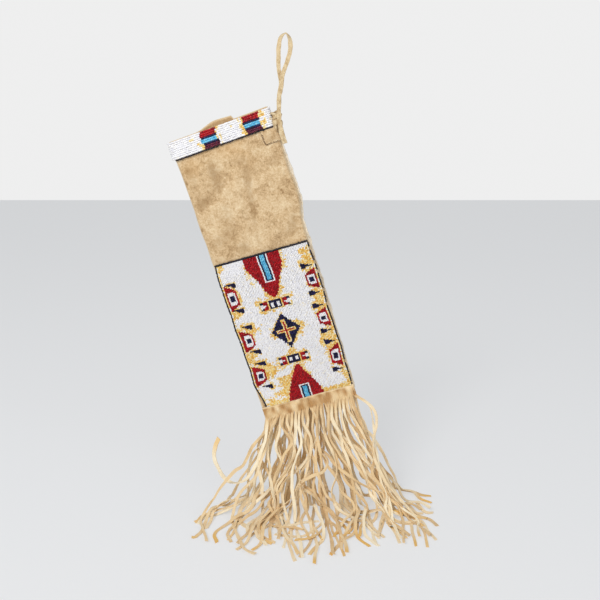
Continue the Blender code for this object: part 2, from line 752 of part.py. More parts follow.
def strip_run(start, gone_by, share, wild, chance):
    """The rest of the strip: round at the table and out over it, with a low arch where it springs."""
    heading = blend(HEADING_LEFT, HEADING_RIGHT, share) + chance.uniform(-1, 1) * HEADING_SPREAD
    curl = chance.uniform(-1, 1) * CURL_SPREAD * wild
    phase = chance.uniform(0, 2 * math.pi)
    arch = ARCH_HEIGHT * chance.random() ** 2
    length = STRIP_LENGTH + chance.uniform(-1, 1) * STRIP_LENGTH_SPREAD
    bearing = heading * FIRST_HEADING
    out = Vector((math.sin(bearing), -math.cos(bearing), 0))
    points = [start]
    for step in range(1, BEND_STEPS + 1):
        turn = math.pi / 2 * step / BEND_STEPS
        down = Vector((0, 0, -BEND_RADIUS * math.sin(turn)))
        points.append(start + out * BEND_RADIUS * (1 - math.cos(turn)) + down)
    run = length - gone_by - BEND_RADIUS * math.pi / 2
    steps = max(round(run / FINE_STEP), 4)
    for step in range(steps):
        gone = step / steps
        bearing = heading * blend(FIRST_HEADING, 1.0, ease(gone * 3)) + curl * gone * gone
        bearing += RUN_WAVE * math.sin(phase + RUN_TURNS * gone) * ease(gone * 2)
        ahead = points[-1] + Vector((math.sin(bearing), -math.cos(bearing), 0)) * run / steps
        ahead.z = TABLE + STRIP_THICKNESS / 2 + arch * math.sin(math.pi * min(gone * ARCH_HASTE, 1.0)) ** 2
        points.append(ahead)
    return points


def strip_faces(rings):
    """The corners and sides of a strip, as a tree of faces wants them."""
    corners = [point for ring in rings for point in ring]
    faces = []
    for i in range(0, len(corners) - 4, 4):
        for j in range(4):
            k = (j + 1) % 4
            faces.append((i + j, i + k, i + 4 + k, i + 4 + j))
    return corners, faces


class Pile:
    """The strips hung and laid so far, to keep the next one clear of them."""

    def __init__(self):
        self.corners = []
        self.faces = []
        self.tree = None

    def hits(self, rings):
        corners, faces = strip_faces(rings)
        tree = BVHTree.FromPolygons(corners, faces)
        own = [(a, b) for a, b in tree.overlap(tree) if not set(faces[a]) & set(faces[b])]
        return len(own) + (len(self.tree.overlap(tree)) if self.tree else 0)

    def add(self, rings):
        corners, faces = strip_faces(rings)
        first = len(self.corners)
        self.corners += corners
        self.faces += [[first + i for i in face] for face in faces]
        self.tree = BVHTree.FromPolygons(self.corners, self.faces)


class TableMap:
    """How high the strips laid so far stand on the table, cell by cell."""

    def __init__(self):
        self.heights = numpy.full((round(MAP_WIDTH / MAP_CELL), round(MAP_DEPTH / MAP_CELL)), TABLE)

    def cells(self, point, reach):
        i0 = int((point.x - reach - MAP_LEFT) / MAP_CELL)
        i1 = int((point.x + reach - MAP_LEFT) / MAP_CELL) + 1
        j0 = int((point.y - reach - MAP_NEAR) / MAP_CELL)
        j1 = int((point.y + reach - MAP_NEAR) / MAP_CELL) + 1
        return slice(i0, i1), slice(j0, j1)

    def lift(self, point, reach):
        """How far a strip's middle must rise at a point to clear what lies there."""
        top = self.heights[self.cells(point, reach)].max()
        return top + STRIP_SPACE + STRIP_THICKNESS / 2 - point.z

    def add(self, route):
        for a, b in zip(route[1:], route[2:]):
            steps = max(int((b - a).length / MAP_CELL), 2)
            for step in range(steps + 1):
                point = a.lerp(b, step / steps)
                if point.z < TABLE + LANDING_ZONE and abs((b - a).normalized().z) < STEEP:
                    cells = self.cells(point, STRIP_TIP / 2)
                    self.heights[cells] = numpy.maximum(self.heights[cells], point.z + STRIP_THICKNESS / 2)


def lay_down(fall, run, table):
    """Lift a strip clear of those on the table already, thin its points and add it to the map."""
    falling = len(fall) - 1
    route = fall[:-1] + run
    reach = STRIP_TIP / 2
    low = TABLE + LANDING_ZONE
    for point in route:
        if point.z < low:
            point.z += max(table.lift(point, reach * CLEAR_REACH), 0.0)
    for i in list(range(1, len(route))) + list(range(len(route) - 2, 0, -1)):
        for other in (route[i - 1], route[min(i + 1, len(route) - 1)]):
            if other.z < low:
                slope = (route[i] - other).xy.length * MAX_SLOPE
                route[i].z = max(route[i].z, other.z - slope)
    for point in route:
        point.z *= HEIGHT_WEIGHT
    route = route[:falling] + simplify(route[falling:], SIMPLIFY)
    for point in route:
        point.z /= HEIGHT_WEIGHT
    for _ in range(LIFT_PASSES):
        for a, b in zip(route[2:], route[3:]):
            samples = [a.lerp(b, step / LIFT_PROBES) for step in range(LIFT_PROBES + 1)]
            short = max([table.lift(point, reach) for point in samples if point.z < low] + [0.0])
            for end in (a, b):
                if end.z < low:
                    end.z += short
    return route


def strip_rings(first, route, root_width, roll, thickness):
    """Outlines across a strip from its first one on, rolling about its own line as it hangs."""
    rings = [first]
    for i, point in enumerate(route[1:], 1):
        along = (route[min(i + 1, len(route) - 1)] - route[i - 1]).normalized()
        face = Vector((0, -abs(along.z), math.sqrt(max(1 - along.z ** 2, 0.0))))
        fallen = (route[0].z - point.z) / (route[0].z - TABLE)
        turn = roll * math.sin(math.pi * fallen)
        side = Matrix.Rotation(turn, 3, along) @ face.cross(along)
        width = blend(root_width, STRIP_TIP, ease(WIDENING * i / (len(route) - 1) - WIDEN_LATE))
        rings.append(thong_ring(point, along, side, width, thickness))
    return rings


def free_strip(first, width, share, sheet_y, pile, table, chance):
    """Draw a strip again and again until it is clear of the others, and keep the best."""
    fewest = None
    root = sum(first, start=Vector()) / 4
    for step in range(TRIES):
        wild = min(2 - 2 * step / TRIES, 1.0)
        fall = strip_fall(root, share, sheet_y, wild, chance)
        gone_by = sum((b - a).length for a, b in zip(fall, fall[1:]))
        route = lay_down(fall, strip_run(fall[-1], gone_by, share, wild, chance), table)
        roll = chance.uniform(-1, 1) * STRIP_ROLL * wild
        hits = pile.hits(strip_rings(first, route, width, roll, STRIP_THICKNESS + 2 * STRIP_SPACE))
        if fewest is None or hits < fewest:
            fewest, kept = hits, (route, roll)
        if not hits:
            break
    return kept


def header_drop(x):
    return PANEL_BOTTOM + GAP + HEADER_HEIGHT + HEADER_SLANT * (x - BAG_LEFT) / BAG_WIDTH


def make_fringe(name, count, front_y, sheets, spring, pile, table, chance):
    """A strip of hide along the foot of the bag, cut into hanging strips below."""
    pitch = BAG_WIDTH / count
    width = pitch - STRIP_SLIT
    back_y = front_y + HEADER_THICKNESS
    top = PANEL_BOTTOM + GAP
    skin = bmesh.new()
    stations = []
    for i in range(count):
        stations += [BAG_LEFT + i * pitch + STRIP_SLIT / 2, BAG_LEFT + (i + 1) * pitch - STRIP_SLIT / 2]
    columns = []
    for x in stations:
        low = -header_drop(x)
        corners = ((x, front_y, -top), (x, back_y, -top), (x, back_y, low), (x, front_y, low))
        columns.append([skin.verts.new(TILT_MATRIX @ Vector(corner)) for corner in corners])
    skin.faces.new(columns[0])
    skin.faces.new(list(reversed(columns[-1])))
    for i, (one, two) in enumerate(zip(columns, columns[1:])):
        in_slit = i % 2 == 1
        for j in range(4):
            k = (j + 1) % 4
            if j != 2 or in_slit:
                skin.faces.new((one[j], two[j], two[k], one[k]))
    order = list(range(count))
    chance.shuffle(order)
    order.sort(key=lambda i: (i != spring, -sheets[i % len(sheets)]))
    for i in order:
        one, two = columns[2 * i], columns[2 * i + 1]
        before = [one[2], two[2], two[3], one[3]]
        first = [corner.co.copy() for corner in before]
        sheet_y = sheets[i % len(sheets)]
        if i == spring:
            route, roll = spring_route(sum(first, start=Vector()) / 4), 0.0
        else:
            share = (i + 0.5) / count
            route, roll = free_strip(first, width, share, sheet_y, pile, table, chance)
        rings = strip_rings(first, route, width, roll, STRIP_THICKNESS)
        table.add(route)
        pile.add(rings)
        for ring in rings[1:]:
            now = [skin.verts.new(point) for point in ring]
            for j in range(4):
                k = (j + 1) % 4
                skin.faces.new((before[j], before[k], now[k], now[j]))
            before = now
        skin.faces.new(before)
    add_piece(name, skin, "fringe")


def make_fringes():
    chance = random.Random(SEED)
    pile = Pile()
    table = TableMap()
    back_y = FRONT + FOOT_DEPTH + GAP
    make_fringe("fringe_back", BACK_STRIPS, back_y, BACK_SHEETS, None, pile, table, chance)
    front_y = FRONT - GAP - HEADER_THICKNESS
    make_fringe("fringe_front", FRONT_STRIPS, front_y, FRONT_SHEETS, SPRING_STRIP, pile, table, chance)


clear_scene()
PARTS = new_collection("pipe bag")
CUTTERS = new_collection("cutters")
TILT_MATRIX = Matrix.Rotation(-HANG_TILT, 4, "Y")
TILT = bpy.data.objects.new("bag_tilt", None)
PARTS.objects.link(TILT)
TILT.rotation_euler = (0, -HANG_TILT, 0)

make_bag_hide()
make_mouth_band()
make_band_edging()
make_panel()
make_panel_edging()
make_corner_patch()
make_hanging_loop()
make_loop_knot()
make_fringes()
bpy.context.view_layer.update()
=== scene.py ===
"""Looks of the beaded hide pipe bag: its beads, hide, thong and fringe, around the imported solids.

Places on the bag are given in its own frame, as in the solids: x across it, -y out of its front and
drops measured down its length.  hang() turns that frame by the angle at which the bag hangs.
"""
import math
import random

import bmesh
import bpy
import numpy as np
from mathutils import Matrix, Vector, noise


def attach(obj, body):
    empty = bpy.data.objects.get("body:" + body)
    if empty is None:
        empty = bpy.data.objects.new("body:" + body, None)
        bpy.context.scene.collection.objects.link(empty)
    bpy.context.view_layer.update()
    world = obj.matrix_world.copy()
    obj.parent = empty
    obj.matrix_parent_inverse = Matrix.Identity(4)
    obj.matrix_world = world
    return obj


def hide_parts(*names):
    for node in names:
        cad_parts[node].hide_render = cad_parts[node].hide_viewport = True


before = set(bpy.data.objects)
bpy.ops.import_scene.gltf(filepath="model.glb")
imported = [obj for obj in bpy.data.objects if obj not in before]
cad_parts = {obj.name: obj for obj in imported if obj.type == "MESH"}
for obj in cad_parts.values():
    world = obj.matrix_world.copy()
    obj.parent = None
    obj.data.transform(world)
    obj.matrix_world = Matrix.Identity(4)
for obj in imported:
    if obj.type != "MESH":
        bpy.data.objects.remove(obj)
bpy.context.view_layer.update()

# The bag, in metres and mostly as in the solids
HANG_TILT = math.radians(17.3)
GAP = 0.0003
BAG_RIGHT = -0.0465
BAG_WIDTH = 0.127
BAG_LEFT = BAG_RIGHT - BAG_WIDTH
BAG_DEPTH = 0.013
FRONT = -BAG_DEPTH / 2
HIDE = 0.0016
SIDE_ROUND = 0.004
MOUTH_DROP = 0.0725
MOUTH_SLANT = 0.005
MOUTH_BOW = 0.006
MOUTH_BOW_LENGTH = 0.085
MOUTH_FLARE = 0.002
RIM_PROUD = 0.0006
FLAP_LEFT = -0.1425
FLAP_RAMP = 0.028
FLAP_RIGHT = -0.0912
FLAP_RISE = 0.0062
FOOT_DEPTH = 0.0052
FOOT_TAPER = 0.075
FOOT_BELOW_PANEL = 0.008
SEAM_TOP_DROP = 0.1045
SEAM_WIDTH = 0.0045
SEAM_WAVE = 0.0014
SEAM_WAVE_LENGTH = 0.047
SEAM_RIPPLE = 0.6
SEAM_RIPPLE_RATE = 2.55
SEAM_SWAY = 0.0005
SEAM_THICKNESS = 0.0021
SEAM_BEVEL = 0.0004
SEAM_ANGLE = 30
SEAM_RAGS = ((0.0007, 210, 3.0), (0.0004, 560, 9.0))

# Beadwork, mostly as in the solids
BAND_ROWS = 9
BAND_BOTTOM_DROP = 0.0987
BAND_FOOT_RISE = 0.0026
BAND_FRONT_DIP = 0.0017
BAND_BLOCKS = ((-0.1246, 0.0196), (-0.0696, 0.0204))
BLOCK_STRIPES = ("red", "red", "red", "navy", "turquoise", "turquoise", "navy", "wine", "wine")
BLOCK_SHIFT = (0.0002, -0.0006, -0.0008, -0.0010, -0.0008, -0.0006, 0.0, 0.0006, 0.0010)
BAND_EDGE = 0.0015
BAND_PITCH = 0.00198
BAND_STAND = 0.0003
BAND_BEAD_HEIGHT = 1.14
BAND_BEAD_DEPTH = 0.74
# Yellow beads beside each block: side, nearest, furthest and how that waves, rows and share
BAND_YELLOWS = (((1, 0, 0.0046, 0, range(9), 0.6), (-1, 0, 0.005, 0, range(5, 9), 0.6),
                 (-1, 0.004, 0.014, 0, range(2, 6), 0.06)),
                ((-1, 0, 0.0052, 0.0012, range(9), 0.85), (1, 0, 0.0072, 0, (0, 1, 2, 5, 6), 0.8),
                 (1, 0, 0.0072, 0, (3, 4, 7, 8), 0.4)))
STRAY_YELLOWS = 0.012
BAND_STRAYS = (0.00010, 0.03, 0.00006)
BAND_EDGE_OUT = 0.0012
BAND_EDGE_DEPTH = 0.0022
BAND_EDGE_STRAY = 0.00025
BAND_EDGE_LEANS = (0.35, -0.1)
PANEL_DROP = 0.241
PANEL_TOP_EDGE = 0.0030
PANEL_SIDE_EDGE = 0.0022
PANEL_SLIP_RIGHT = 0.0006
PANEL_SLIP_LEFT = -0.0026
# The panel's left edge is pulled in at its foot, waist and top, the more the further left
PULL_FROM = -0.128
PULL_RUN = 0.045
FOOT_PULL, FOOT_PULL_DROP, FOOT_PULL_RUN = 0.0060, 0.405, 0.042
WAIST_PULL, WAIST_DROP, WAIST_RUN = 0.0010, 0.343, 0.04
TOP_PULL, TOP_PULL_RUN = 0.0028, 0.034
PANEL_WAVES = ((0.0005, 70, 0.0), (0.0003, 163, 1.0))
ROW = 0.00318
HALF_ROW = ROW / 2
LANES = 7
ROWS_IN_LANE = 9
COLUMNS = 62
ROWS = LANES * ROWS_IN_LANE
COLUMN = (BAG_WIDTH - 2 * PANEL_SIDE_EDGE) / COLUMNS
FIELD_LEFT = BAG_LEFT + PANEL_SIDE_EDGE
FIELD_TOP = PANEL_DROP + PANEL_TOP_EDGE
PANEL_BOTTOM = FIELD_TOP + ROWS * ROW
BAG_BOTTOM = PANEL_BOTTOM + FOOT_BELOW_PANEL

# Motifs, in columns from the middle line and rows from the top of the field
TOP_TRIANGLE = ((0, 12.3), (4.9, 11.5), (7.7, 9.9), (10.1, 7.5), (13.4, 5.4), (16, 3.8), (17.7, 1.5),
                (18, 0))
LOW_TRIANGLE = ((48, 0), (48.2, 1.3), (50.6, 3.2), (53.4, 5.9), (57.4, 9.1), (60.4, 10.9), (63.5, 12.3))
BAR_MIDDLE = 0.5
BAR_HALVES = (3.6, 2.6, 1.6)
TOP_BAR_ENDS = (11.4, 10.9, 10.4)
LOW_BAR_STARTS = (56.8, 57.4, 57.9)
DEVICE_PLACES = ((19.2, -1.0), (43.6, -1.0))
DEVICE_HEIGHT = 3.4
DEVICE_BOX = 4.3
DEVICE_BAR = 5.3
DEVICE_NOTCH = 1.0
DEVICE_SQUARE = (0.9, 3.3, 1.0, 2.6)
DEVICE_TIP = 1.8
DEVICE_REACH = 10.2
DIAMOND_MIDDLE = 0.5
DIAMOND = ((25.3, 0), (32.5, 9.6), (40.3, 0))
CROSS_UPRIGHT = (27.8, 37.8, 1.5)
CROSS_LEVEL = (31.9, 33.4, 6.2)
CORE_UPRIGHT = (28.8, 36.9, 0.5)
CORE_LEVEL = (32.4, 32.9, 5.2)
# Houses along each edge: first row, length, columns in from the edge, and their feathers' rows off their ends
HOUSES = {-1: ((8.4, 11.1, 0.0, 0.6, 0.6), (28.2, 9.4, 1.0, -0.6, 1.0), (44.5, 8.8, 1.0, -0.4, 1.2)),
          1: ((10.4, 8.8, 0.0, -1.6, 1.3), (27.4, 8.2, 0.0, -1.4, 1.5), (43.4, 10.1, 0.0, -1.6, 0.9))}
HOUSE_REACH = ((0, 1.3), (0.25, 8.2), (0.5, 8.4), (0.78, 8.2), (1.0, 1.3))
HOUSE_SQUARE = (0.27, 0.76, 1.8, 7.2)
HOUSE_PIP = (0.41, 0.64, 3.0, 6.2)
HOUSE_CORNER = 0.05
FEATHER = ((2.2, 0.25), (5.0, 0.4), (6.2, 0.9), (8.7, 1.15))
FEATHER_LEAN = {-1: -0.9, 1: 0.4}

# Clouds of yellow in the ground: middle across and down the field, half width and height, and weight
YELLOW_CLOUDS = ((0.1145, 0.0045, 0.011, 0.006, 0.55), (0.115, 0.0205, 0.006, 0.008, 0.9),
                 (0.118, 0.0735, 0.0055, 0.012, 1.0), (0.111, 0.129, 0.012, 0.007, 1.0),
                 (0.0065, 0.067, 0.006, 0.006, 0.95), (0.0073, 0.126, 0.007, 0.008, 0.95),
                 (0.025, 0.152, 0.010, 0.009, 0.95), (0.038, 0.174, 0.010, 0.012, 0.7),
                 (0.010, 0.191, 0.014, 0.010, 0.8), (0.096, 0.198, 0.014, 0.006, 0.8),
                 (0.003, 0.0016, 0.009, 0.008, 0.7), (0.061, 0.132, 0.012, 0.004, 0.6),
                 (0.030, 0.0716, 0.012, 0.003, 0.4), (0.1206, 0.184, 0.003, 0.02, 0.5),
                 (0.036, 0.034, 0.007, 0.018, 0.75), (0.086, 0.026, 0.004, 0.022, 0.4),
                 (0.031, 0.186, 0.012, 0.006, 0.5), (0.030, 0.198, 0.026, 0.004, 0.6),
                 (0.100, 0.1975, 0.022, 0.0045, 0.6))

# How yellow spreads in the ground: reach and weight round the motifs and in from the sides
MOTIF_HALO = (0.0039, 1.16)
SIDE_HALO = (0.0035, 0.34)
# Patches of yellow in between: weight, place in the noise and fineness
GROUND_CLOUDS = ((0.5, 0.3, 55), (0.3, 4.1, 160))
SPECKLE = 0.19
YELLOW_LEVEL = 0.60
SIDE_YELLOWS = 0.75

# Fringe and floor; the strips are cut thinner than in the solids
FLOOR = -0.6016
HEADER_HEIGHT = 0.013
HEADER_THICKNESS = 0.0018
HEADER_SLANT = 0.003
STRIP_THICKNESS = 0.0010

# Loop and knot, as in the solids
THONG_WIDTH = 0.0052
THONG = 0.0015
LOOP_LEFT = ((-0.0058, -0.004), (-0.0080, -0.013), (-0.0088, -0.027), (-0.0084, -0.041), (-0.0062, -0.053))
LOOP_RIGHT = ((0.0044, -0.0042), (0.0056, -0.0125), (0.0034, -0.026), (-0.0006, -0.037), (-0.0038, -0.046))
LOOP_STEM = ((-0.0060, -0.060), (-0.0083, -0.071), (-0.0086, -0.081))
LOOP_ROOT = (-0.0086, 0, -0.086)
LOOP_TURN = 0.014
LOOP_JOIN = -0.030

# Camera, and the width of its picture
EYE = np.array((0.017, -0.873, -0.108))
CAMERA_PITCH = 14
LENS = 41.5
SENSOR = 36
PICTURE = 600

# Beads
BEAD_DEPTH = 0.0026
BEAD_FILL = 1.07
LANE_ARCH = 0.0007
PANEL_SWELL = 0.0009
BEAD_STRAY = 0.00007
BEAD_VARIES = 0.05
BEAD_TURNS = (0.05, 0.04)
LINE_SLIP = 0.2
EDGE_PITCH = 0.0021
EDGE_TURN = 0.1
EDGE_FILL = 0.95
TOP_EDGE_LEAN = 0.35
SIDE_EDGE_LEAN = 0.3
EDGE_MISSING = 0.22
SEED = 7
OUTWARD = np.array((0.0, -1.0, 0.0))


def ease(share):
    share = min(max(share, 0.0), 1.0)
    return share * share * (3 - 2 * share)


def blend(start, end, share):
    return start + (end - start) * share


def hang(points):
    """Turn points from the bag's frame to the upright one."""
    turn = np.array(Matrix.Rotation(-HANG_TILT, 3, "Y"))
    return np.asarray(points, dtype=float) @ turn.T


def unhang(points):
    """Turn points from the upright frame to the bag's own."""
    turn = np.array(Matrix.Rotation(-HANG_TILT, 3, "Y"))
    return np.asarray(points, dtype=float) @ turn


def unit(vectors):
    return vectors / np.linalg.norm(vectors, axis=-1, keepdims=True)


# Materials

class Value:
    """A value in a material, which the usual signs add to, scale and compare."""

    def __init__(self, finish, socket):
        self.finish = finish
        self.socket = socket

    def maths(self, operation, first, second):
        return self.finish.node("ShaderNodeMath", {"operation": operation}, {0: first, 1: second})

    def __add__(self, other):
        return self.maths("ADD", self, other)

    def __rsub__(self, other):
        return self.maths("SUBTRACT", other, self)

    def __mul__(self, other):
        return self.maths("MULTIPLY", self, other)

    def between(self, low, high):
        """0 at low and under, 1 at high and over, with a smooth step."""
        return self.finish.node("ShaderNodeMapRange", {"interpolation_type": "SMOOTHSTEP"},
                                {"Value": self, "From Min": low, "From Max": high})


class Finish:
    """A material built from named nodes."""

    def __init__(self, name, roughness=0.6, **fixed):
        self.material = bpy.data.materials.new(name)
        self.material.use_nodes = True
        self.tree = self.material.node_tree
        self.shader = self.tree.nodes["Principled BSDF"]
        self.shader.inputs["Roughness"].default_value = roughness
        for socket, value in fixed.items():
            self.shader.inputs[socket.replace("_", " ")].default_value = value

    def node(self, kind, settings=None, inputs=None, output=0):
        made = self.tree.nodes.new(kind)
        for key, value in (settings or {}).items():
            setattr(made, key, value)
        for key, value in (inputs or {}).items():
            self.set(made.inputs[key], value)
        return Value(self, made.outputs[output])

    def set(self, socket, value):
        if isinstance(value, Value):
            self.tree.links.new(value.socket, socket)
        elif socket.type == "RGBA" and len(value) == 3:
            socket.default_value = (*value, 1.0)
        else:
            socket.default_value = value

    def place(self, turn=0.0):
        """A spot on the object, in metres, turned about Y."""
        spot = self.node("ShaderNodeTexCoord", output="Object")
        return self.node("ShaderNodeMapping", None, {"Vector": spot, "Rotation": (0.0, turn, 0.0)})

    def noise(self, spot, scale, detail=2.0, roughness=0.5, warp=0.0):
        return self.node("ShaderNodeTexNoise", None, {"Vector": spot, "Scale": scale, "Detail": detail,
                                                      "Roughness": roughness, "Distortion": warp})

    def attribute(self, name):
        return self.node("ShaderNodeAttribute", {"attribute_name": name}, None, "Fac")

    def mix(self, share, first, second):
        return self.node("ShaderNodeMix", {"data_type": "RGBA"}, {0: share, 6: first, 7: second}, 2)

    def ramp(self, share, stops):
        made = self.tree.nodes.new("ShaderNodeValToRGB")
        self.set(made.inputs[0], share)
        points = made.color_ramp.elements
        while len(points) < len(stops):
            points.new(0.5)
        for point, (position, colour) in zip(points, stops):
            point.position = position
            point.color = (*srgb(*colour), 1.0)
        return Value(self, made.outputs[0])

    def colour(self, value):
        self.set(self.shader.inputs["Base Color"], value)

    def roughness(self, value):
        self.set(self.shader.inputs["Roughness"], value)

    def lighten_for_camera(self, colour, share):
        """Seen straight on, show some of a plain colour, so that a floor is pale without more light."""
        plain = self.node("ShaderNodeEmission", None, {"Color": colour})
        both = self.tree.nodes.new("ShaderNodeMixShader")
        self.set(both.inputs[0], Value(self, seen_straight(self.tree)) * share)
        self.tree.links.new(self.shader.outputs[0], both.inputs[1])
        self.tree.links.new(plain.socket, both.inputs[2])
        self.tree.links.new(both.outputs[0], self.tree.nodes["Material Output"].inputs["Surface"])

    def bump(self, height, distance, strength=1.0):
        normal = self.node("ShaderNodeBump", None,
                           {"Strength": strength, "Distance": distance, "Height": height})
        self.set(self.shader.inputs["Normal"], normal)


def seen_straight(tree):
    """1 where something is looked at, through glass or in a mirror too, and 0 where it only lights."""
    path = tree.nodes.new("ShaderNodeLightPath")
    seen = path.outputs["Is Camera Ray"]
    for ray in ("Is Glossy Ray", "Is Transmission Ray"):
        more = tree.nodes.new("ShaderNodeMath")
        tree.links.new(seen, more.inputs[0])
        tree.links.new(path.outputs[ray], more.inputs[1])
        seen = more.outputs[0]
    return seen


def srgb(*parts):
    """A colour as seen on a screen, in the linear values that materials use."""
    parts = [part / 255 for part in parts]
    return tuple(((part + 0.055) / 1.055) ** 2.4 if part > 0.04 else part / 12.92 for part in parts)


def bead_finish(name, stops, roughness=0.24):
    """Glass beads, each a little lighter or darker than the next."""
    finish = Finish(name, roughness, Coat_Weight=0.08, Coat_Roughness=0.15, Specular_IOR_Level=0.3)
    shade = finish.attribute("shade")
    spot = finish.place()
    smear = finish.noise(spot, 260.0, 3.0)
    finish.colour(finish.ramp(shade * 0.86 + smear * 0.14, stops))
    finish.roughness(smear.between(0.3, 0.8) * 0.18 + roughness)
    finish.bump(finish.noise(spot, 1400.0, 1.0), 0.00012, 0.35)
    return finish.material


def hide_finish(name, dark, middle, light, warm, grain=1.0):
    """Brain-tanned hide: soft nap, broad smoke-tan clouds, worn pale at its edges, painted highlight on its
    folds and painted shade in them.
    """
    finish = Finish(name, 0.88, Sheen_Weight=0.12, Sheen_Roughness=0.6, Specular_IOR_Level=0.25)
    spot = finish.place(turn=-HANG_TILT)
    clouds = finish.noise(spot, 38.0, 4.0, 0.6, 0.5)
    blotches = finish.noise(spot, 130.0, 5.0, 0.65, 0.8)
    nap = finish.noise(spot, 1500.0, 3.0, 0.65)
    pores = finish.node("ShaderNodeTexVoronoi", {"feature": "F1"}, {"Vector": spot, "Scale": 620.0})
    grit = finish.noise(spot, 440.0, 3.0, 0.7)
    tone = clouds * 0.26 + blotches * 0.30 + grit * 0.26 + nap * 0.18
    colour = finish.ramp(tone, ((0.39, dark), (0.49, middle), (0.60, light)))
    smudges = finish.noise(spot, 62.0, 4.0, 0.65, 1.2).between(0.60, 0.74)
    colour = finish.mix(smudges * 0.32, colour, srgb(*dark))
    warmth = finish.noise(spot, 11.0, 3.0, 0.5).between(0.5, 0.68)
    colour = finish.mix(warmth * 0.35, colour, srgb(*warm))
    # Pale wear at the edges, and painted highlight on the crests of folds
    colour = finish.mix(finish.attribute("wear_and_highlight").between(0.1, 1.0) * 0.85, colour, srgb(*light))
    # Painted shade in fold hollows, thong creases and under the flap's edge; on the corner patch also its own
    # darker tone
    finish.colour(finish.mix(finish.attribute("shadow") * 0.7, colour, srgb(*dark)))
    finish.roughness(0.96 - blotches * 0.16)
    finish.bump(nap * 0.5 + blotches * 0.6 + pores * 0.35, 0.0006 * grain, 0.8)
    return finish.material


def strip_finish(name, dark, middle, light, ochre):
    """Cut strips of smoked hide, each of its own tone, with painted shade in the header and near the roots,
    and some ends stained ochre.
    """
    finish = Finish(name, 0.85, Sheen_Weight=0.1, Sheen_Roughness=0.6, Specular_IOR_Level=0.25)
    spot = finish.place()
    clouds = finish.noise(spot, 60.0, 4.0, 0.55, 0.4)
    nap = finish.noise(spot, 1300.0, 3.0, 0.6)
    tone = clouds * 0.34 + finish.attribute("tone") * 0.54 + nap * 0.12
    colour = finish.ramp(tone, ((0.20, dark), (0.46, middle), (0.76, light)))
    finish.colour(finish.mix(finish.attribute("ochre"), colour, srgb(*ochre)))
    finish.bump(nap * 0.5 + clouds, 0.0004, 0.6)
    return finish.material


WHITE_BEADS = bead_finish("white beads", ((0.0, (218, 216, 224)), (0.14, (241, 240, 243)),
                                          (0.86, (250, 248, 246)), (1.0, (244, 231, 204))), 0.3)
YELLOW_BEADS = bead_finish("yellow beads", ((0.0, (230, 170, 72)), (0.3, (240, 197, 100)),
                                            (0.6, (246, 220, 146)), (1.0, (250, 240, 210))), 0.3)
RED_BEADS = bead_finish("red beads", ((0.0, (118, 0, 12)), (0.5, (166, 3, 20)), (1.0, (198, 24, 34))))
WINE_BEADS = bead_finish("wine beads", ((0.0, (58, 8, 34)), (0.6, (92, 18, 46)), (1.0, (116, 30, 56))))
NAVY_BEADS = bead_finish("navy beads", ((0.0, (6, 5, 32)), (0.6, (15, 12, 60)), (1.0, (34, 28, 92))))
TURQUOISE_BEADS = bead_finish("turquoise beads", ((0.0, (74, 164, 208)), (0.5, (104, 194, 228)),
                                                  (1.0, (150, 216, 238))))
EDGE_BEADS = bead_finish("edge beads", ((0.0, (9, 8, 16)), (0.7, (17, 15, 34)), (1.0, (40, 36, 66))), 0.2)
BAG_HIDE = hide_finish("smoked hide", (158, 124, 82), (212, 180, 136), (238, 215, 176), (220, 176, 118))
THONG_HIDE = hide_finish("thong hide", (176, 144, 100), (221, 197, 154), (238, 220, 184), (216, 182, 128),
                         0.6)
SEAM_HIDE = hide_finish("raw seam edge", (186, 162, 130), (224, 208, 182), (240, 230, 212),
                        (214, 190, 152), 0.7)
FRINGE_HIDE = strip_finish("fringe hide", (190, 146, 94), (236, 206, 158), (253, 238, 206), (236, 188, 102))
SINEW = Finish("dark sinew", 0.7)
SINEW.colour(SINEW.mix(SINEW.noise(SINEW.place(), 700.0), srgb(82, 54, 34), srgb(132, 96, 62)))


# Making meshes

SHARP = 60
SMOOTH = 40


def only(piece):
    """Select one object and nothing else."""
    bpy.ops.object.select_all(action="DESELECT")
    piece.select_set(True)
    bpy.context.view_layer.objects.active = piece


def mesh_piece(name, points, faces, material):
    mesh = bpy.data.meshes.new(name)
    mesh.from_pydata([tuple(p) for p in points], [], faces)
    mesh.update()
    piece = bpy.data.objects.new(name, mesh)
    bpy.context.collection.objects.link(piece)
    mesh.materials.append(material)
    mesh.shade_smooth()
    return piece


def settle(piece, slot, *nodes):
    """A finished piece rides on the bag and stands for these solids."""
    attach(piece, "root")
    if nodes:
        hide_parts(*nodes)


def apply_modifier(piece, kind, **settings):
    only(piece)
    step = piece.modifiers.new(kind.lower(), kind)
    for key, value in settings.items():
        setattr(step, key, value)
    bpy.ops.object.modifier_apply(modifier=step.name)


def point_values(piece, name, values):
    layer = piece.data.attributes.new(name, "FLOAT", "POINT")
    layer.data.foreach_set("value", np.asarray(values, dtype=np.float32))


def cut_sheet(name, columns, rows, material):
    """A flat sheet of so many cells, and how far across and down it each of its points lies."""
    bpy.ops.object.select_all(action="DESELECT")
    bpy.ops.mesh.primitive_grid_add(x_subdivisions=columns, y_subdivisions=rows, size=1)
    piece = bpy.context.object
    piece.name = name
    piece.data.materials.append(material)
    return piece, [(v.co.x + 0.5, v.co.y + 0.5) for v in piece.data.vertices]


def shape_sheet(piece, places, wear_and_highlight, shadow):
    """Bring a sheet's points to their places, with each one's wear and painted highlight and its painted
    shade.
    """
    piece.data.vertices.foreach_set("co", hang(places).ravel())
    point_values(piece, "wear_and_highlight", wear_and_highlight)
    point_values(piece, "shadow", shadow)


def thicken(piece, thickness, bevel, sharp=SHARP):
    """Give a sheet its thickness, half to each side, and take the edge off its corners."""
    apply_modifier(piece, "SOLIDIFY", thickness=thickness, offset=0.0)
    apply_modifier(piece, "BEVEL", width=bevel, segments=1, limit_method="ANGLE",
                   angle_limit=math.radians(sharp))


def keep_corners():
    bpy.ops.object.shade_smooth_by_angle(angle=math.radians(SMOOTH))


# Beads

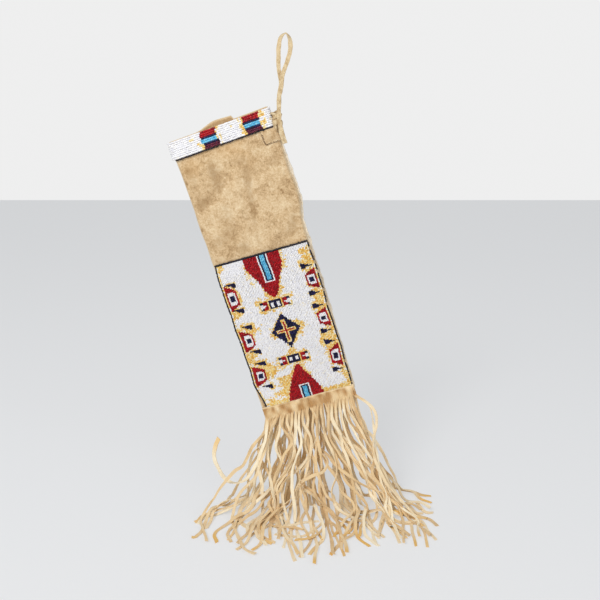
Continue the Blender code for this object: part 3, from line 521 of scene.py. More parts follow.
def model_bead():
    """One bead of unit size with its hole along X, as points and faces."""
    bpy.ops.mesh.primitive_cylinder_add(vertices=6, radius=0.5, depth=1.0, rotation=(0, math.pi / 2, 0))
    bead = bpy.context.object
    bpy.ops.object.transform_apply(rotation=True)
    bpy.ops.object.mode_set(mode="EDIT")
    bpy.ops.mesh.select_all(action="DESELECT")
    bpy.ops.object.mode_set(mode="OBJECT")
    for edge in bead.data.edges:
        ends = [bead.data.vertices[i].co.x for i in edge.vertices]
        edge.select = abs(ends[0] - ends[1]) < 1e-4
    bpy.ops.object.mode_set(mode="EDIT")
    bpy.ops.mesh.select_mode(type="EDGE")
    bpy.ops.mesh.bevel(offset=0.14, segments=1, affect="EDGES")
    bpy.ops.object.mode_set(mode="OBJECT")
    points = np.array([v.co for v in bead.data.vertices])
    faces = [list(face.vertices) for face in bead.data.polygons]
    bpy.data.objects.remove(bead, do_unlink=True)
    return points, faces


BEAD_POINTS, BEAD_FACES = model_bead()


class Beading:
    """Beads by colour, laid one by one and then made into one piece for each colour."""

    def __init__(self, name):
        self.name = name
        self.beads = {}

    def lay(self, colour, middle, along, out, length, height, depth, shade):
        """A bead with its hole along one way, its face out another, in the bag's frame."""
        along = along / np.linalg.norm(along)
        out = out - along * np.dot(along, out)
        out = out / np.linalg.norm(out)
        up = np.cross(out, along)
        points = (BEAD_POINTS * (length, depth, height)) @ np.array((along, out, up)) + middle
        self.beads.setdefault(colour, []).append((points, shade))

    def make(self, colour, material, slot, *nodes):
        rows = self.beads[colour]
        points = np.concatenate([points for points, shade in rows])
        count = len(BEAD_POINTS)
        faces = [[i + count * row for i in face] for row in range(len(rows)) for face in BEAD_FACES]
        piece = mesh_piece(f"{self.name}_{colour}", hang(points), faces, material)
        point_values(piece, "shade", np.repeat([shade for points, shade in rows], count))
        settle(piece, slot, *nodes)


def half_at(outline, row):
    """Half the width of a motif in a row, or 0 above and below it."""
    rows, halves = zip(*outline)
    return float(np.interp(row, rows, halves, left=0.0, right=0.0))


def within(box, off, row):
    top, foot, half = box
    return top <= row < foot and off < half


def device_bead(off, down):
    """A forked device: a dark box with two white squares, a yellow bar each side and forked red prongs."""
    if off < DEVICE_BOX:
        near, far, top, foot = DEVICE_SQUARE
        return "white" if near <= off < far and top <= down < foot else "navy"
    if off < DEVICE_BAR:
        return "yellow"
    notch = (off - DEVICE_BAR) / (DEVICE_REACH - DEVICE_BAR) * DEVICE_NOTCH
    if off > DEVICE_REACH:
        return None
    if abs(down - DEVICE_HEIGHT / 2) < notch:
        return "white"
    return "navy" if off > DEVICE_REACH - DEVICE_TIP else "red"


def centre_motif(across, row):
    """The bead colour of the motifs near the middle line, or None."""
    for triangle, bars in ((TOP_TRIANGLE, [row < end for end in TOP_BAR_ENDS]),
                           (LOW_TRIANGLE, [row >= start for start in LOW_BAR_STARTS])):
        if abs(across) < half_at(triangle, row):
            found = "red"
            for colour, half, inside in zip(("white", "navy", "turquoise"), BAR_HALVES, bars):
                if abs(across - BAR_MIDDLE) < half and inside:
                    found = colour
            return found
    off = abs(across - DIAMOND_MIDDLE)
    if off < half_at(DIAMOND, row):
        if within(CORE_UPRIGHT, off, row) or within(CORE_LEVEL, off, row):
            return "red"
        return "yellow" if within(CROSS_UPRIGHT, off, row) or within(CROSS_LEVEL, off, row) else "navy"
    for start, middle in DEVICE_PLACES:
        if 0 <= row - start < DEVICE_HEIGHT:
            return device_bead(abs(across - middle), row - start)
    return None


def side_motif(near, side, row):
    """The bead colour of the motifs along an edge, near columns in from it, or None."""
    for start, length, inset, above, below in HOUSES[side]:
        share = (row - start) / length
        if 0 <= share <= 1 and near - inset < half_at(HOUSE_REACH, share):
            for colour, (top, foot, first, last) in (("navy", HOUSE_PIP), ("white", HOUSE_SQUARE)):
                corner = colour == "white" and min(share - top, foot - share) < HOUSE_CORNER
                if top <= share < foot and first <= near - inset < last - corner:
                    return colour
            return "red"
        for middle in (start + above, start + length + below):
            out = near - inset * 2
            leant = middle + FEATHER_LEAN[side] * (FEATHER[-1][0] - out) / (FEATHER[-1][0] - FEATHER[0][0])
            if abs(row - leant) < half_at(FEATHER, out):
                return "navy"
    return None


def motif_at(column, row):
    """The bead colour that the pattern gives a cell, or None on the ground."""
    across = column + 0.5 - COLUMNS / 2
    found = centre_motif(across, row)
    if found:
        return found
    side = -1 if across < 0 else 1
    near = column + 0.5 if side < 0 else COLUMNS - column - 0.5
    return side_motif(near, side, row)


def glow(away, halo):
    """How strongly yellow is drawn to something so far away."""
    reach, weight = halo
    return math.exp(-away / reach) * weight


def ground_colours():
    """White ground with yellow beads clouded round the motifs, along the edges and in the corners."""
    chance = random.Random(SEED + 6)
    pattern = [[motif_at(column, (line + 0.5) / 2) for column in range(COLUMNS)]
               for line in range(2 * ROWS)]
    filled = np.array([[cell is not None for cell in line] for line in pattern])
    lines, columns = np.nonzero(filled)
    for line in range(2 * ROWS):
        for column in range(COLUMNS):
            if column in (0, COLUMNS - 1):
                pattern[line][column] = "yellow" if chance.random() < SIDE_YELLOWS else "white"
                continue
            if pattern[line][column]:
                continue
            x = column * COLUMN
            z = line * HALF_ROW
            away = np.sqrt(((columns - column) * COLUMN) ** 2 + ((lines - line) * HALF_ROW) ** 2).min()
            edge = min(column, COLUMNS - 1 - column) * COLUMN
            level = glow(away, MOTIF_HALO) + glow(edge, SIDE_HALO) + chance.uniform(-SPECKLE, SPECKLE)
            level += sum(weight * math.exp(-(((x - cx) / wx) ** 2 + ((z - cz) / wz) ** 2))
                         for cx, cz, wx, wz, weight in YELLOW_CLOUDS)
            level += sum(weight * noise.noise(Vector((x, z, place)) * rate)
                         for weight, place, rate in GROUND_CLOUDS)
            pattern[line][column] = "yellow" if level > YELLOW_LEVEL else "white"
    return pattern


def panel_slip(x):
    """How far down or up the beadwork lies across the bag, sewn a little out of level."""
    return blend(PANEL_SLIP_RIGHT, PANEL_SLIP_LEFT, (BAG_RIGHT - x) / BAG_WIDTH)


def panel_warp(x, drop):
    """Where the sewn beadwork has pulled a little out of true."""
    left = ease((PULL_FROM - x) / PULL_RUN)
    pull = FOOT_PULL * ease((drop - FOOT_PULL_DROP) / FOOT_PULL_RUN)
    pull += WAIST_PULL * math.exp(-((drop - WAIST_DROP) / WAIST_RUN) ** 2)
    pull += TOP_PULL * (1 - ease((drop - PANEL_DROP) / TOP_PULL_RUN))
    wave = sum(height * math.sin(drop * rate + start) for height, rate, start in PANEL_WAVES)
    return x + pull * left + wave


def panel_spot(x, drop, proud):
    """A spot of the beadwork, so far proud of the bag's front."""
    return np.array((panel_warp(x, drop), FRONT - GAP - proud, -drop - panel_slip(x)))


def panel_lift(x, drop):
    """How far the panel swells forward off its bed, by lane and over its soft backing."""
    row = (drop - FIELD_TOP) / ROW
    lane = abs(math.sin(math.pi * row / ROWS_IN_LANE))
    swell = PANEL_SWELL * math.sin(x * 60 + drop * 22) * math.sin(drop * 31)
    return LANE_ARCH * lane ** 0.5 + swell * ease((drop - PANEL_DROP) * 40)


def bead_panel():
    """The field: beads strung down the bag, side by side in even columns."""
    chance = random.Random(SEED)
    beading = Beading("panel_beads")
    pattern = ground_colours()
    for line in range(2 * ROWS):
        slip = chance.uniform(-LINE_SLIP, LINE_SLIP) * COLUMN
        for column in range(COLUMNS):
            x = FIELD_LEFT + (column + 0.5) * COLUMN + chance.gauss(0, BEAD_STRAY)
            if 0 < column < COLUMNS - 1:
                x += slip
            drop = FIELD_TOP + (line + 0.5) * HALF_ROW + chance.gauss(0, BEAD_STRAY)
            middle = panel_spot(x, drop, BEAD_DEPTH / 2 + panel_lift(x, drop))
            along = np.array((*[chance.gauss(0, turn) for turn in BEAD_TURNS], -1.0))
            size = chance.gauss(1.0, BEAD_VARIES)
            colour = pattern[line][column]
            if colour == "white":
                colour = "white_upper" if line < ROWS else "white_lower"
            beading.lay(colour, middle, along, OUTWARD, HALF_ROW * BEAD_FILL, COLUMN * BEAD_FILL * size,
                        BEAD_DEPTH * size, chance.random())
    sides, places = ("left", "right"), ("upper", "lower")
    beading.make("white_upper", WHITE_BEADS, "white", "panel_field", "top_bar_white",
                 *[f"square_{side}_{i}" for side in sides for i in (1, 2)])
    beading.make("white_lower", WHITE_BEADS, "white", "low_bar_white",
                 *[f"square_{side}_3" for side in sides])
    beading.make("yellow", YELLOW_BEADS, "yellow", "cross")
    beading.make("red", RED_BEADS, "red", "top_triangle", "low_triangle", "cross_core",
                 *[f"{place}_fork_{side}" for place in places for side in sides],
                 *[f"side_{side}_{i}" for side in sides for i in (1, 2, 3)])
    beading.make("navy", NAVY_BEADS, "navy", *[f"{place}_box" for place in places], "diamond",
                 "top_bar_navy", "low_bar_navy",
                 *[f"feather_{side}_{i}_{place}" for side in sides for i in (1, 2, 3) for place in places])
    beading.make("turquoise", TURQUOISE_BEADS, "turquoise", "top_bar_turquoise", "low_bar_turquoise")


def panel_edge():
    """The dark row of beads over the panel's top and down its two sides."""
    chance = random.Random(SEED + 1)
    beading = Beading("edging_beads")
    for step in range(round(BAG_WIDTH / EDGE_PITCH)):
        x = BAG_LEFT + (step + 0.5) * EDGE_PITCH
        drop = PANEL_DROP + PANEL_TOP_EDGE / 2 + chance.gauss(0, 0.0002)
        along = np.array((1.0, 0.0, TOP_EDGE_LEAN + chance.gauss(0, EDGE_TURN)))
        beading.lay("edge", panel_spot(x, drop, BEAD_DEPTH * 0.55), along, OUTWARD, EDGE_PITCH * EDGE_FILL,
                    PANEL_TOP_EDGE * EDGE_FILL, BEAD_DEPTH * 1.1, chance.random())
    for side in (-1, 1):
        edge = BAG_LEFT + PANEL_SIDE_EDGE / 2 if side < 0 else BAG_RIGHT - PANEL_SIDE_EDGE / 2
        for step in range(round((PANEL_BOTTOM - FIELD_TOP) / EDGE_PITCH)):
            drop = FIELD_TOP + (step + 0.5) * EDGE_PITCH
            if side > 0 and noise.noise(Vector((drop * 160, 2.0, 0.0))) > EDGE_MISSING:
                continue
            x = edge + chance.gauss(0, 0.00015)
            along = np.array((SIDE_EDGE_LEAN * side + chance.gauss(0, EDGE_TURN), 0.0, -1.0))
            beading.lay("edge", panel_spot(x, drop, BEAD_DEPTH / 2), along, OUTWARD, EDGE_PITCH * EDGE_FILL,
                        PANEL_SIDE_EDGE, BEAD_DEPTH, chance.random())
    beading.make("edge", EDGE_BEADS, "edge", "panel_edging")


# The bag's section

def mouth_drop(x):
    """How far down the mouth lies; it slants a little across the bag."""
    return MOUTH_DROP + MOUTH_SLANT * (BAG_RIGHT - x) / BAG_WIDTH


def rim_drop(x, front):
    """The mouth's edge, which hangs lower on the front wall than on the back."""
    share = (BAG_RIGHT - x) / BAG_WIDTH
    return mouth_drop(x) + BAND_FRONT_DIP * (1 - share * 0.6) * front


def depth_at(drop):
    """The bag's depth, which thins towards its foot."""
    return blend(FOOT_DEPTH, BAG_DEPTH, ease((PANEL_BOTTOM - drop) / FOOT_TAPER))


def section_run(drop, out, arc_steps, wall_steps):
    """The bag's outline at a drop, moved out from the hide: up the right side, over the back and round."""
    rise = 1 - (drop - MOUTH_DROP) / MOUTH_BOW_LENGTH
    bow = MOUTH_BOW * ease(rise)
    left = BAG_LEFT - MOUTH_FLARE * ease(rise * 2 - 1)
    depth = depth_at(drop)
    middle = FRONT + depth / 2
    points = []
    for step in range(arc_steps + 1):
        turn = math.pi * (step / arc_steps - 0.5)
        reach = (SIDE_ROUND + out) * math.cos(turn)
        points.append((BAG_RIGHT - SIDE_ROUND + reach, middle + (depth / 2 + out) * math.sin(turn)))
    for step in range(1, wall_steps):
        share = step / wall_steps
        x = blend(BAG_RIGHT - SIDE_ROUND, left + SIDE_ROUND, share)
        points.append((x, middle + depth / 2 + out + bow * math.sin(math.pi * share)))
    for step in range(arc_steps + 1):
        turn = math.pi * (step / arc_steps + 0.5)
        reach = (SIDE_ROUND + out) * math.cos(turn)
        points.append((left + SIDE_ROUND + reach, middle + (depth / 2 + out) * math.sin(turn)))
    for step in range(1, wall_steps):
        x = blend(left + SIDE_ROUND, BAG_RIGHT - SIDE_ROUND, step / wall_steps)
        points.append((x, middle - depth / 2 - out))
    return points


# Mouth band

def band_drop(x, row, front=1.0):
    """How far down a row of the band begins; its front hangs a little lower than the back wall."""
    share = (BAG_RIGHT - x) / BAG_WIDTH
    return blend(rim_drop(x, front), BAND_BOTTOM_DROP + BAND_FOOT_RISE * (share * 1.4 - 1), row / BAND_ROWS)


def band_colour(x, row, chance):
    """Two blocks of stripes on a white ground, with yellow beside them."""
    for (middle, width), yellows in zip(BAND_BLOCKS, BAND_YELLOWS):
        off = x - middle - BLOCK_SHIFT[row]
        if abs(off) < width / 2:
            return BLOCK_STRIPES[row]
        for side, near, far, wave, rows, share in yellows:
            away = side * off - width / 2
            if near < away < far + wave * math.sin(row * 2.1) and row in rows and chance.random() < share:
                return "yellow"
    return "white" if chance.random() > STRAY_YELLOWS else "yellow"


def bead_band():
    """Rows of beads sewn round the mouth, side by side along the bag's outline."""
    chance = random.Random(SEED + 2)
    beading = Beading("band_beads")
    ring = [Vector(point) for point in section_run(MOUTH_DROP, GAP + BEAD_DEPTH / 2, 16, 60)]
    lengths = [(b - a).length for a, b in zip(ring, ring[1:] + ring[:1])]
    around = sum(lengths)
    count = round(around / BAND_PITCH)
    stray, turn, proud = BAND_STRAYS
    for row in range(BAND_ROWS):
        slip = chance.random()
        for step in range(count):
            gone = (step + slip) / count * around
            i = 0
            while gone > lengths[i]:
                gone -= lengths[i]
                i = (i + 1) % len(ring)
            a, b = ring[i], ring[(i + 1) % len(ring)]
            spot = a.lerp(b, gone / lengths[i])
            run = (b - a).normalized()
            facing = ease(0.5 - spot.y / BAG_DEPTH)
            top = band_drop(spot.x, row, facing)
            foot = band_drop(spot.x, row + 1, facing)
            drop = (top + foot) / 2 + chance.gauss(0, stray)
            rise = MOUTH_SLANT / BAG_WIDTH * (1 - (row + 0.5) / BAND_ROWS)
            along = np.array((run.x, run.y, rise * run.x + chance.gauss(0, turn)))
            out = np.array((run.y, -run.x, 0.0))
            front = spot.y < 0 and BAG_LEFT < spot.x < BAG_RIGHT
            colour = band_colour(spot.x, row, chance) if front else "white"
            middle = np.array((spot.x, spot.y, -drop)) + out * (BAND_STAND + chance.gauss(0, proud))
            size = chance.gauss(1.0, BEAD_VARIES)
            height = (foot - top) * BAND_BEAD_HEIGHT * size
            beading.lay(colour, middle, along, out, around / count * BEAD_FILL, height,
                        BEAD_DEPTH * BAND_BEAD_DEPTH, chance.random())
    beading.make("white", WHITE_BEADS, "white", "mouth_band")
    beading.make("yellow", YELLOW_BEADS, "yellow")
    stripes = {"red": RED_BEADS, "navy": NAVY_BEADS, "turquoise": TURQUOISE_BEADS, "wine": WINE_BEADS}
    for colour, material in stripes.items():
        beading.make(colour, material, colour, f"band_{colour}_1", f"band_{colour}_2")


def band_edge():
    """One dark, broken row of beads under the front of the band."""
    chance = random.Random(SEED + 3)
    beading = Beading("band_edging_beads")
    for step in range(round(BAG_WIDTH / EDGE_PITCH)):
        x = BAG_LEFT + (step + 0.5) * EDGE_PITCH
        drop = band_drop(x, BAND_ROWS) + GAP + BAND_EDGE * 0.55 + chance.gauss(0, BAND_EDGE_STRAY)
        middle = np.array((x, FRONT - GAP - BAND_EDGE_OUT, -drop))
        along = np.array((1.0, 0.0, chance.choice(BAND_EDGE_LEANS) + chance.gauss(0, EDGE_TURN)))
        beading.lay("edge", middle, along, OUTWARD, EDGE_PITCH * 0.96, BAND_EDGE * 1.25, BAND_EDGE_DEPTH,
                    chance.random())
    beading.make("edge", EDGE_BEADS, "edge", "band_edging")


# Hide

HIDE_ARC, HIDE_WALL, HIDE_ROWS = 8, 48, 150
SIDE_EASE = 0.012
SIDE_WOBBLE = 0.0009
# Pale wear at the sides, painted highlight on fold crests and painted shade in fold hollows
WORN_EDGE, FOLD_HIGHLIGHT, FOLD_HIGHLIGHT_SHARE = 0.0026, 0.0022, 0.35
DARK_FOLD = 0.0018
BARE_MARGIN = 0.003
BARE_EASE = 0.012
WRINKLES = ((0.0010, 34, 26, 0), (0.00035, 130, 110, 5))
FLAP_FADE = 16
FLAP_END = 0.0022
FLAP_LEAN = 0.003
FLAP_DIP, FLAP_DIP_FROM, FLAP_DIP_RUN = 0.22, -0.115, 0.024
FLAP_SHADOW_ROWS = 5
FLAP_SHADOW = 0.45
# Soft folds in the bare hide: place, half length along the fold, half width, lean and height
FOLDS = ((-0.113, 0.168, 0.046, 0.0085, 4, 0.0024), (-0.102, 0.182, 0.050, 0.006, 8, -0.0016),
         (-0.134, 0.130, 0.026, 0.007, -4, -0.0015), (-0.148, 0.122, 0.020, 0.006, 10, 0.0012),
         (-0.160, 0.158, 0.022, 0.008, 62, -0.0016), (-0.150, 0.168, 0.024, 0.008, 58, 0.0013),
         (-0.066, 0.222, 0.024, 0.009, 40, -0.0016), (-0.082, 0.226, 0.026, 0.009, 48, 0.0014),
         (-0.125, 0.228, 0.020, 0.008, 30, -0.0013), (-0.062, 0.138, 0.024, 0.008, 52, -0.0014),
         (-0.074, 0.150, 0.026, 0.010, 50, 0.0014), (-0.107, 0.124, 0.010, 0.005, 70, -0.0012),
         (-0.152, 0.208, 0.026, 0.009, 75, -0.0010), (-0.090, 0.200, 0.030, 0.012, -20, 0.0012))
# How far the hide bellies out beside the seam, drop by drop
RIGHT_BULGE = ((0.096, 0.0), (0.102, 0.0030), (0.118, 0.0034), (0.135, 0.0036), (0.157, 0.0042),
               (0.172, 0.0056), (0.185, 0.0056), (0.196, 0.0044), (0.206, 0.0012), (0.214, 0.0004),
               (0.234, 0.0))
BULGE_RUN = 0.026
SEAM_START = 0.04
SEAM_LOW, SEAM_LOW_FROM, SEAM_LOW_RUN = 0.55, 0.62, 0.1


def hide_relief(x, drop, side):
    """How far the soft hide stands off its even section, flat under the beadwork."""
    relief = 0.0
    for cx, cd, half_length, half_width, lean, height in FOLDS:
        lean = math.radians(lean)
        across = (x - cx) * math.cos(lean) - side * (drop - cd) * math.sin(lean)
        along = side * (x - cx) * math.sin(lean) + (drop - cd) * math.cos(lean)
        relief += height * math.exp(-(across / half_width) ** 2 - (along / half_length) ** 2)
    for height, across, down, start in WRINKLES:
        relief += height * noise.noise(Vector((x * across, drop * down, side + start)))
    bare = ease((drop - BAND_BOTTOM_DROP - BARE_MARGIN) / BARE_EASE)
    if side < 0:
        bare *= ease((PANEL_DROP - BARE_MARGIN - drop) / BARE_EASE)
    return relief * bare


def right_bulge(x, drop):
    """How far the hide bellies out at a spot, less the further it is from the seam."""
    reach = float(np.interp(drop, *zip(*RIGHT_BULGE)))
    return reach * ease((x - BAG_RIGHT) / BULGE_RUN + 1)


def hide_point(x, y, row):
    """Where a point of the even tube lies in the worn bag, its wear and painted highlight, and its painted
    shade.
    """
    share = row / HIDE_ROWS
    drop = blend(MOUTH_DROP, BAG_BOTTOM, share)
    depth = depth_at(drop)
    middle = FRONT + depth / 2
    side = 1 if y > middle else -1
    relief = hide_relief(x, drop, side)
    edge = min(abs(x - BAG_LEFT), abs(x - BAG_RIGHT))
    flat = ease(edge / SIDE_EASE)
    wobble = SIDE_WOBBLE * noise.noise(Vector((0.0, drop * 45, x * 8))) * (1 - flat)
    front = ease(0.5 - (y - middle) / depth)
    z = blend(-rim_drop(x, front) + RIM_PROUD * (1 - front), -BAG_BOTTOM, share)
    if side > 0:
        rise = ease((x - FLAP_LEFT) / FLAP_RAMP) * ease((FLAP_RIGHT - x) / FLAP_END)
        rise *= 1 - FLAP_DIP * ease((x - FLAP_DIP_FROM) / FLAP_DIP_RUN)
        fade = max(1 - share * FLAP_FADE, 0.0)
        z += FLAP_RISE * rise * fade ** 1.5
        y += FLAP_LEAN * rise * fade
    # Painted shade in the hollows of the folds, and on the flap's inner face below its top edge
    shadow = min(max(-relief / DARK_FOLD, 0.0), 1.0) * flat
    if side > 0 and row < FLAP_SHADOW_ROWS:
        shadow = FLAP_SHADOW * (row > 0)
    # Pale wear along the sides and the top edge, and painted highlight on the crests of folds
    wear_and_highlight = max(1 - edge / WORN_EDGE, 0.0) + min(max(relief / FOLD_HIGHLIGHT, 0.0), 1.0) * FOLD_HIGHLIGHT_SHARE
    wear_and_highlight += row == 0
    return (x + wobble + right_bulge(x, drop), y + side * relief * flat, z), wear_and_highlight, shadow


def make_hide():
    """A sheet rolled into the tube of the bag, closed at its foot, with the flap of its back wall."""
    around = 2 * (HIDE_ARC + HIDE_WALL)
    hide, spots = cut_sheet("hide_bag", around, HIDE_ROWS, BAG_HIDE)
    rings = [section_run(blend(MOUTH_DROP, BAG_BOTTOM, row / HIDE_ROWS), 0.0, HIDE_ARC, HIDE_WALL)
             for row in range(HIDE_ROWS + 1)]
    placed = []
    for across, down in spots:
        row = round(down * HIDE_ROWS)
        placed.append(hide_point(*rings[row][round(across * around) % around], row))
    shape_sheet(hide, *zip(*placed))
    only(hide)
    bpy.ops.object.mode_set(mode="EDIT")
    bpy.ops.mesh.select_all(action="SELECT")
    bpy.ops.mesh.remove_doubles(threshold=0.00002)
    bpy.ops.object.mode_set(mode="OBJECT")
    close_foot(hide)
    apply_modifier(hide, "SOLIDIFY", thickness=HIDE, offset=-1.0, use_even_offset=False)
    hide.data.shade_smooth()
    settle(hide, "hide", "bag_hide")


def close_foot(hide):
    """Close the lower end of the tube and turn its faces outward."""
    shell = bmesh.new()
    shell.from_mesh(hide.data)
    lowest = [edge for edge in shell.edges if edge.is_boundary
              and all(-HIDE * 2 < foot_height(v.co) < HIDE * 2 for v in edge.verts)]
    bmesh.ops.edgeloop_fill(shell, edges=lowest)
    bmesh.ops.recalc_face_normals(shell, faces=shell.faces)
    shell.to_mesh(hide.data)
    shell.free()


def foot_height(point):
    """How far a point lies above the bag's closed foot, along the bag."""
    return BAG_BOTTOM - (point.x * math.sin(HANG_TILT) - point.z * math.cos(HANG_TILT))


def make_seam():
    """The raw doubled edge of the hide that stands out along the right-hand seam."""
    seam, spots = cut_sheet("seam_edge", 6, 220, SEAM_HIDE)
    placed = []
    for across, share in spots:
        drop = SEAM_TOP_DROP + (BAG_BOTTOM - HIDE - SEAM_TOP_DROP) * share
        turn = 2 * math.pi * drop / SEAM_WAVE_LENGTH
        wave = math.sin(turn) + SEAM_RIPPLE * math.sin(SEAM_RIPPLE_RATE * turn)
        ragged = sum(height * noise.noise(Vector((drop * rate, start, 0.0)))
                     for height, rate, start in SEAM_RAGS)
        ends = ease(share / SEAM_START) * blend(1.0, SEAM_LOW, ease((share - SEAM_LOW_FROM) / SEAM_LOW_RUN))
        reach = (SEAM_WIDTH * 0.56 + SEAM_WAVE * wave * 0.4 + ragged) * ends
        sway = SEAM_SWAY * wave * 3 + 0.0012 * noise.noise(Vector((drop * 60, 1, 0)))
        placed.append((BAG_RIGHT - HIDE + right_bulge(BAG_RIGHT, drop) + across * (HIDE + reach),
                       FRONT + depth_at(drop) / 2 + sway * across, -drop))
    shape_sheet(seam, placed, [across ** 3 for across, share in spots], np.zeros(len(spots)))
    thicken(seam, SEAM_THICKNESS, SEAM_BEVEL, SEAM_ANGLE)
    seam.data.shade_smooth()
    settle(seam, "hide")


# Corner patch and its stitches

PATCH_LEFT, PATCH_RIGHT = -0.0632, -0.0408
PATCH_TOP, PATCH_FOOT = 0.0982, 0.1152
PATCH_THICKNESS = 0.0012
PATCH_CELLS = 18
PATCH_SWELL = 0.0011
PATCH_RAGS = 0.0006
PATCH_WORN_EDGE = 0.06
PATCH_WRAP_FROM, PATCH_WRAP = 0.0075, 0.0085
PATCH_ANGLE = 30
# Stitches: how many, the first one's share of the way, the step between them, where each starts and ends
# beside its place, its thickness and how far it stands up
LEFT_STITCHES = (7, 0.24, 0.115, (-0.0010, 0.0010, 0), (0.0010, -0.0008, -0.0014), 0.0010, 0.0005)
FOOT_STITCHES = (6, 0.08, 0.125, (0, -0.0008, 0.0008), (0.0014, 0.0009, -0.0007), 0.0008, 0.0004)
STITCH_STRAY = 0.008
STITCH_SHARES = (0.0, 0.25, 0.5, 0.75, 1.0)


def patch_place(across, down):
    """A spot on the patch, which lies under the band and wraps a little round the bag's side."""
    x = blend(PATCH_LEFT + 0.0012 * down, PATCH_RIGHT, across)
    drop = blend(PATCH_TOP, PATCH_FOOT, down)
    x += PATCH_RAGS * noise.noise(Vector((drop * 260, across * 3, 1.0)))
    drop += PATCH_RAGS * noise.noise(Vector((x * 240, down * 3, 2.0)))
    swell = PATCH_SWELL * math.sin(math.pi * across) * math.sin(math.pi * down)
    round_off = max((x - PATCH_RIGHT + PATCH_WRAP_FROM) / PATCH_WRAP, 0.0)
    y = FRONT - GAP - PATCH_THICKNESS / 2 - 0.0002 - swell
    return x, y + BAG_DEPTH / 2 * (1 - math.sqrt(max(1 - round_off ** 2, 0.0))), -drop


def make_patch():
    """The small patch of hide sewn over the bag's corner, under the knot."""
    patch, spots = cut_sheet("corner_patch_hide", PATCH_CELLS, PATCH_CELLS, BAG_HIDE)
    placed = [patch_place(across, down) for across, down in spots]
    edge = [1 - min(across, down, 1 - across, 1 - down) / PATCH_WORN_EDGE for across, down in spots]
    # Pale worn edges; darker all over, partly the patch's own darker tone and partly painted shade in its
    # wrinkles
    shape_sheet(patch, placed, [max(value, 0.0) * 0.8 for value in edge],
                [0.25 + 0.5 * noise.noise(Vector((x * 160, z * 160, 0))) for x, y, z in placed])
    thicken(patch, PATCH_THICKNESS, 0.0002, PATCH_ANGLE)
    keep_corners()
    settle(patch, "hide", "corner_patch")


def stitch_points(start, end, thick, lift):
    """The corners of a stitch, a bit of sinew bent up from one spot and down to the next."""
    run = end - start
    side = run.cross(Vector(OUTWARD)).normalized() * thick / 2
    out = Vector(OUTWARD) * thick / 2
    points = []
    for share in STITCH_SHARES:
        arch = math.sin(math.pi * share)
        middle = start + run * share + Vector(OUTWARD) * lift * arch
        points += [middle + way * (0.6 + 0.4 * arch) for way in (side, out, -side, -out)]
    return points


def make_stitches():
    """Sinew down the patch's left edge and along its foot."""
    chance = random.Random(SEED + 4)
    points, faces = [], []
    for run in (LEFT_STITCHES, FOOT_STITCHES):
        count, first, apart, start, end, thick, lift = run
        for step in range(count):
            share = first + step * apart + chance.gauss(0, STITCH_STRAY)
            place = Vector(patch_place(share, 1.0) if run is FOOT_STITCHES else patch_place(0.0, share))
            points += stitch_points(place + Vector(start), place + Vector(end), thick, lift)
    length = 4 * len(STITCH_SHARES)
    for base in range(0, len(points), length):
        for ring in range(base, base + length - 4, 4):
            corners = [ring, ring + 1, ring + 2, ring + 3]
            faces += [(a, b, b + 4, a + 4) for a, b in zip(corners, corners[1:] + corners[:1])]
        faces += [(base + 3, base + 2, base + 1, base), tuple(range(base + length - 4, base + length))]
    settle(mesh_piece("stitches", hang(points), faces, SINEW.material), "hide")


# Straps and strips of cut hide

def smooth_line(knots, spacing):
    """Rows a spacing apart on a smooth curve through rows of numbers whose first three are a place."""
    knots = np.asarray(knots, dtype=float)
    gaps = np.linalg.norm(np.diff(knots[:, :3], axis=0), axis=1)
    gone = np.concatenate(([0.0], np.cumsum(gaps)))
    slopes = np.diff(knots, axis=0) / gaps[:, None]
    lean = np.empty_like(knots)
    lean[0], lean[-1] = slopes[0], slopes[-1]
    before, after = gaps[:-1, None], gaps[1:, None]
    lean[1:-1] = (slopes[:-1] * after + slopes[1:] * before) / (before + after)
    spots = np.linspace(0.0, gone[-1], max(round(gone[-1] / spacing), 3) + 1)
    leg = np.clip(np.searchsorted(gone, spots, side="right") - 1, 0, len(gaps) - 1)
    gap = gaps[leg][:, None]
    t = (spots[:, None] - gone[leg][:, None]) / gap
    near = knots[leg] * (2 * t ** 3 - 3 * t ** 2 + 1) + lean[leg] * gap * (t ** 3 - 2 * t ** 2 + t)
    far = knots[leg + 1] * (3 * t ** 2 - 2 * t ** 3) + lean[leg + 1] * gap * (t ** 3 - t ** 2)
    return spots, near + far


def waver(seed, spots, length):
    """A smooth wandering value between about -1 and 1 at each spot along a strip."""
    return np.array([noise.noise(Vector((seed * 7.31, spot / length, 0.5))) for spot in spots]) * 2


def strip_rows(middles, across, widths, spots, seed, columns, cup):
    """Rows of points over a strip, a little cupped and with its cut edges uneven."""
    along = unit(np.gradient(middles, axis=0))
    across = unit(across - along * (across * along).sum(axis=1, keepdims=True))
    face = np.cross(along, across)
    bend = waver(seed + 3, spots, 0.035) * cup
    edges = {-1: 1 + 0.10 * waver(seed + 4, spots, 0.006), 1: 1 + 0.10 * waver(seed + 5, spots, 0.006)}
    rows = []
    for column in range(columns):
        reach = column / (columns - 1) * 2 - 1
        half = widths / 2 * reach * (edges[-1] if reach < 0 else edges[1])
        rows.append(middles + across * half[:, None] + face * (bend * (reach ** 2 - 0.4))[:, None])
    return np.stack(rows, axis=1)


def grid_faces(first, rows, columns):
    faces = []
    for row in range(rows - 1):
        for column in range(columns - 1):
            a = first + row * columns + column
            faces.append((a, a + columns, a + columns + 1, a + 1))
    return faces


# Loop and knot

